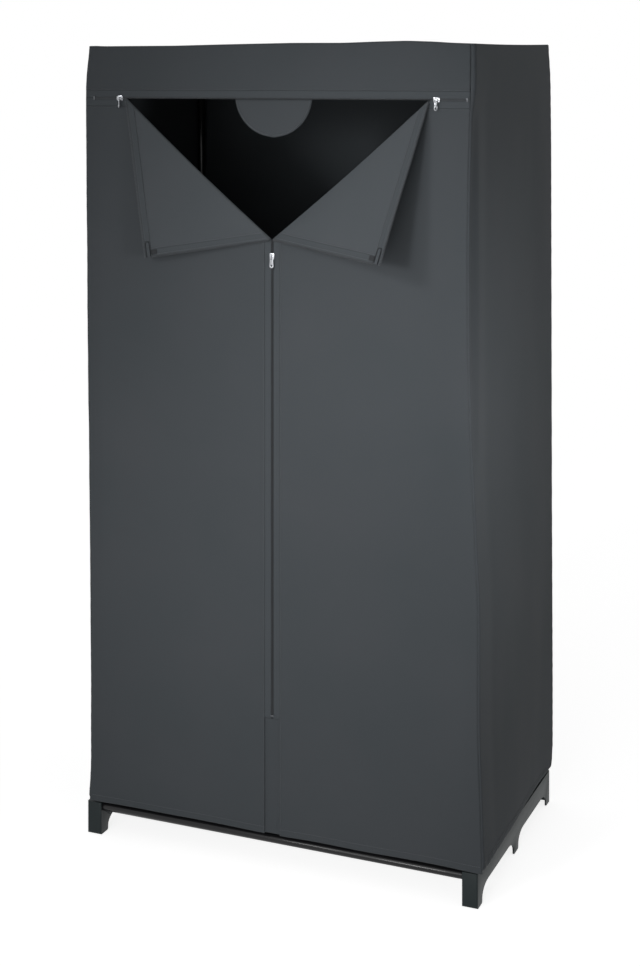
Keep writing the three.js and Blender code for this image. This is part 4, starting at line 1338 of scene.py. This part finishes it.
# Node, the body that carries it, and the radius of its edges in mm
PAIRS = [
    ("base_side_{}", "wardrobe", 1.2, moulded_plastic, "moulding"),
    ("top_side_{}", "wardrobe", 0.5, moulded_plastic, "moulding"),
    ("header_stop_{}", "wardrobe", 0.3, darkened_metal, "slider_metal"),
    ("header_slider_{}", "slider_{}", 0.2, plated_metal, "slider_metal"),
    ("header_pull_{}", "pull_{}", 0.2, plated_metal, "slider_metal"),
]
SINGLES = [
    ("centre_stop", "wardrobe", 0.3, darkened_metal, "slider_metal"),
    ("centre_slider", "slider_centre", 0.2, plated_metal, "slider_metal"),
    ("centre_pull", "pull_centre", 0.2, plated_metal, "slider_metal"),
]
for word in SIDES:
    for node, body, edge, material, slot in PAIRS:
        soft_copy(node.format(word), body.format(word), edge * MM, material, slot)
for node, body, edge, material, slot in SINGLES:
    soft_copy(node, body, edge * MM, material, slot)
print("soft-edged copies:", len(SIDES) * len(PAIRS) + len(SINGLES))

# %% [markdown]
# ## Cut sizes of the cloth
#
# Each sheet's size as it was cut is printed. Its area is worked out too, but not used. Not
# every cut is a rectangle, and the area is simply measured on the drawn piece, so it's no check
# of the drawing against the cut. A better way would work it out from the cut's own outline. The
# placket is drawn wider than its flat size says, since it is tucked behind both tapes, so there
# the flat size sets the area.


def area_of(piece):
    """The area of one side of a drawn sheet."""
    return sum(face.area for face in piece.data.polygons) / 2


def declare(piece, width, length, with_pieces=()):
    """Prints a sheet's cut size. Its area, the drawn one held between 0.3 and 1 times width by
    length, is worked out but not used.
    """
    whole = width * length
    min(max(area_of(piece), 0.3 * whole), whole)
    print(piece.name, "cut", round(width, 3), "x", round(length, 3))


tall = TOP - HEM
for word, side in SIDES.items():
    declare(front_panels[word], seam_x(HEM, side) - TAPE + 8 * MM, SEAM_BELOW - HEM + 5 * MM,
            [*zip_pieces[word], *zip_pieces[f"lower_{word}"], rolls[word]])
    declare(side_panels[word], BACK - FRONT + 30 * MM, tall + 5 * MM)
    declare(corner_cloths[word], fold_x(SEAM_BELOW) - TAPE + 5 * MM,
            SEAM_BELOW - fold_z(TAPE) + 5 * MM,
            [*zip_pieces[f"side_{word}"], *zip_pieces[f"top_{word}"], threads[f"flap_{word}"],
             *bands[word]])
declare(back_cloth, 2 * rear_x(HEM, 1) + 5 * MM, tall + 5 * MM)
declare(roof_cloth, 2 * HALF_TOP + 5 * MM, BACK - FRONT + 5 * MM,
        [roof_cord])
declare(header_cloth, 2 * HALF_TOP + 10 * MM, TOP - SEAM_ABOVE + 8 * MM,
        [*zip_pieces["upper"], threads["wardrobe"]])
declare(tongue_cloth, 2 * TONGUE_R + 2 * MM, tongue_high.z - tongue_low.z + 2 * MM)
declare(placket_cloth, 2 * TAPE, placket_high.z - HEM + 5 * MM)

# %% [markdown]
# ## Floor and light
#
# The object stands on a plain pale floor that runs out of sight. To the camera the floor adds a
# glow of its own, so it's as white as a studio sweep but still takes the object's soft shadow.
# More light would whiten it too, but then the cloth would wash out.
# A low, even sky opens the shadows. The main lamp stands high on the left, so that the folded
# corners, which lean back towards it, catch more light than the flat front. Low lamps in front
# and one on the right fill in what it leaves dark.

# %% Floor
FLOOR_REACH = 60.0
FLOOR_GLOW = 0.82
FLOOR_SIDES = 64


def seen_directly(tree):
    """1 for what the camera sees, also in metal or through glass, and 0 for light on the object."""
    ray = put(tree, "LightPath")
    seen = calculate(tree, "MAXIMUM", ray.outputs["Is Camera Ray"], ray.outputs["Is Glossy Ray"])
    return calculate(tree, "MAXIMUM", seen, ray.outputs["Is Transmission Ray"])


def floor_finish():
    material, tree, shader = begin("studio_floor", Roughness=0.9, Specular_IOR_Level=0.0)
    uneven = use_group(tree, uneven_group, Blotches_per_metre=3.0)
    two_tone(tree, shader, uneven.outputs["Blotch"], (0.85, 0.85, 0.85), (0.87, 0.87, 0.87))
    glow = calculate(tree, "MULTIPLY", seen_directly(tree), FLOOR_GLOW)
    bright = put(tree, "Emission", Strength=glow, Color=(1, 1, 1, 1))
    both = put(tree, "AddShader", at0=shader.outputs[0], at1=bright.outputs[0])
    tree.links.new(both.outputs[0], tree.nodes["Material Output"].inputs["Surface"])
    return material


floor_mesh = bpy.data.meshes.new("studio_floor")
round_points = [(FLOOR_REACH * math.cos(a), FLOOR_REACH * math.sin(a), 0.0)
                for a in (2 * math.pi * k / FLOOR_SIDES for k in range(FLOOR_SIDES))]
floor_mesh.from_pydata(round_points, [], [tuple(range(FLOOR_SIDES))])
floor_mesh.materials.append(floor_finish())
floor = add("studio_floor", floor_mesh)
print("floor reach, m:", FLOOR_REACH)

# %% Sky and lamps
SKY_LEVEL = 0.21
# Name, place, aim, cone in degrees or none for a disk, power
LAMPS = [
    ("key_high_left", (-1.6, -3.1, 2.6), (0.30, -0.2, 1.20), 24, 166),
    ("key_low_left", (-0.9, -3.3, 1.4), (0.10, -0.2, 0.60), 28, 108),
    ("key_corners", (-0.5, -3.4, 1.8), (0.26, -0.2, 1.25), 12.5, 215),
    ("key_right", (1.1, -3.0, 1.6), (0.33, -0.2, 1.15), 26, 18),
    ("side_soft", (3.3, -1.3, 1.0), (0.39, -0.26, 0.85), 16, 305),
    ("front_low", (0.2, -3.2, 0.5), (0.0, -0.2, 0.25), 30, 78),
    ("fill", (0.2, -3.2, 0.7), (0.0, 0.0, 0.6), None, 20),
]
DISK_SIZE = 2.0
SOFT_RADIUS = 0.35

world = bpy.data.worlds.new("studio_sky")
world.use_nodes = True
sky_tree = world.node_tree
sky = sky_tree.nodes["Background"]
sky.inputs["Color"].default_value = (1, 1, 1, 1)
sky.inputs["Strength"].default_value = SKY_LEVEL
white = put(sky_tree, "Background", Strength=1.0, Color=(1, 1, 1, 1))
sky_seen = seen_directly(sky_tree)
sky_mix = put(sky_tree, "MixShader", at0=sky_seen, at1=sky.outputs[0], at2=white.outputs[0])
sky_tree.links.new(sky_mix.outputs[0], sky_tree.nodes["World Output"].inputs["Surface"])
bpy.context.scene.world = world

for name, place, aim, cone, power in LAMPS:
    light = bpy.data.lights.new(name, "SPOT" if cone else "AREA")
    light.energy = power
    if cone:
        light.spot_size = math.radians(cone)
        light.spot_blend = 1.0
        light.shadow_soft_size = SOFT_RADIUS
    else:
        light.shape = "DISK"
        light.size = DISK_SIZE
    lamp = add(name, light)
    lamp.location = place
    lamp.rotation_euler = (Vector(aim) - lamp.location).to_track_quat("-Z", "Y").to_euler()
bpy.context.scene.view_settings.view_transform = "Standard"
print("lamps:", [row[0] for row in LAMPS])
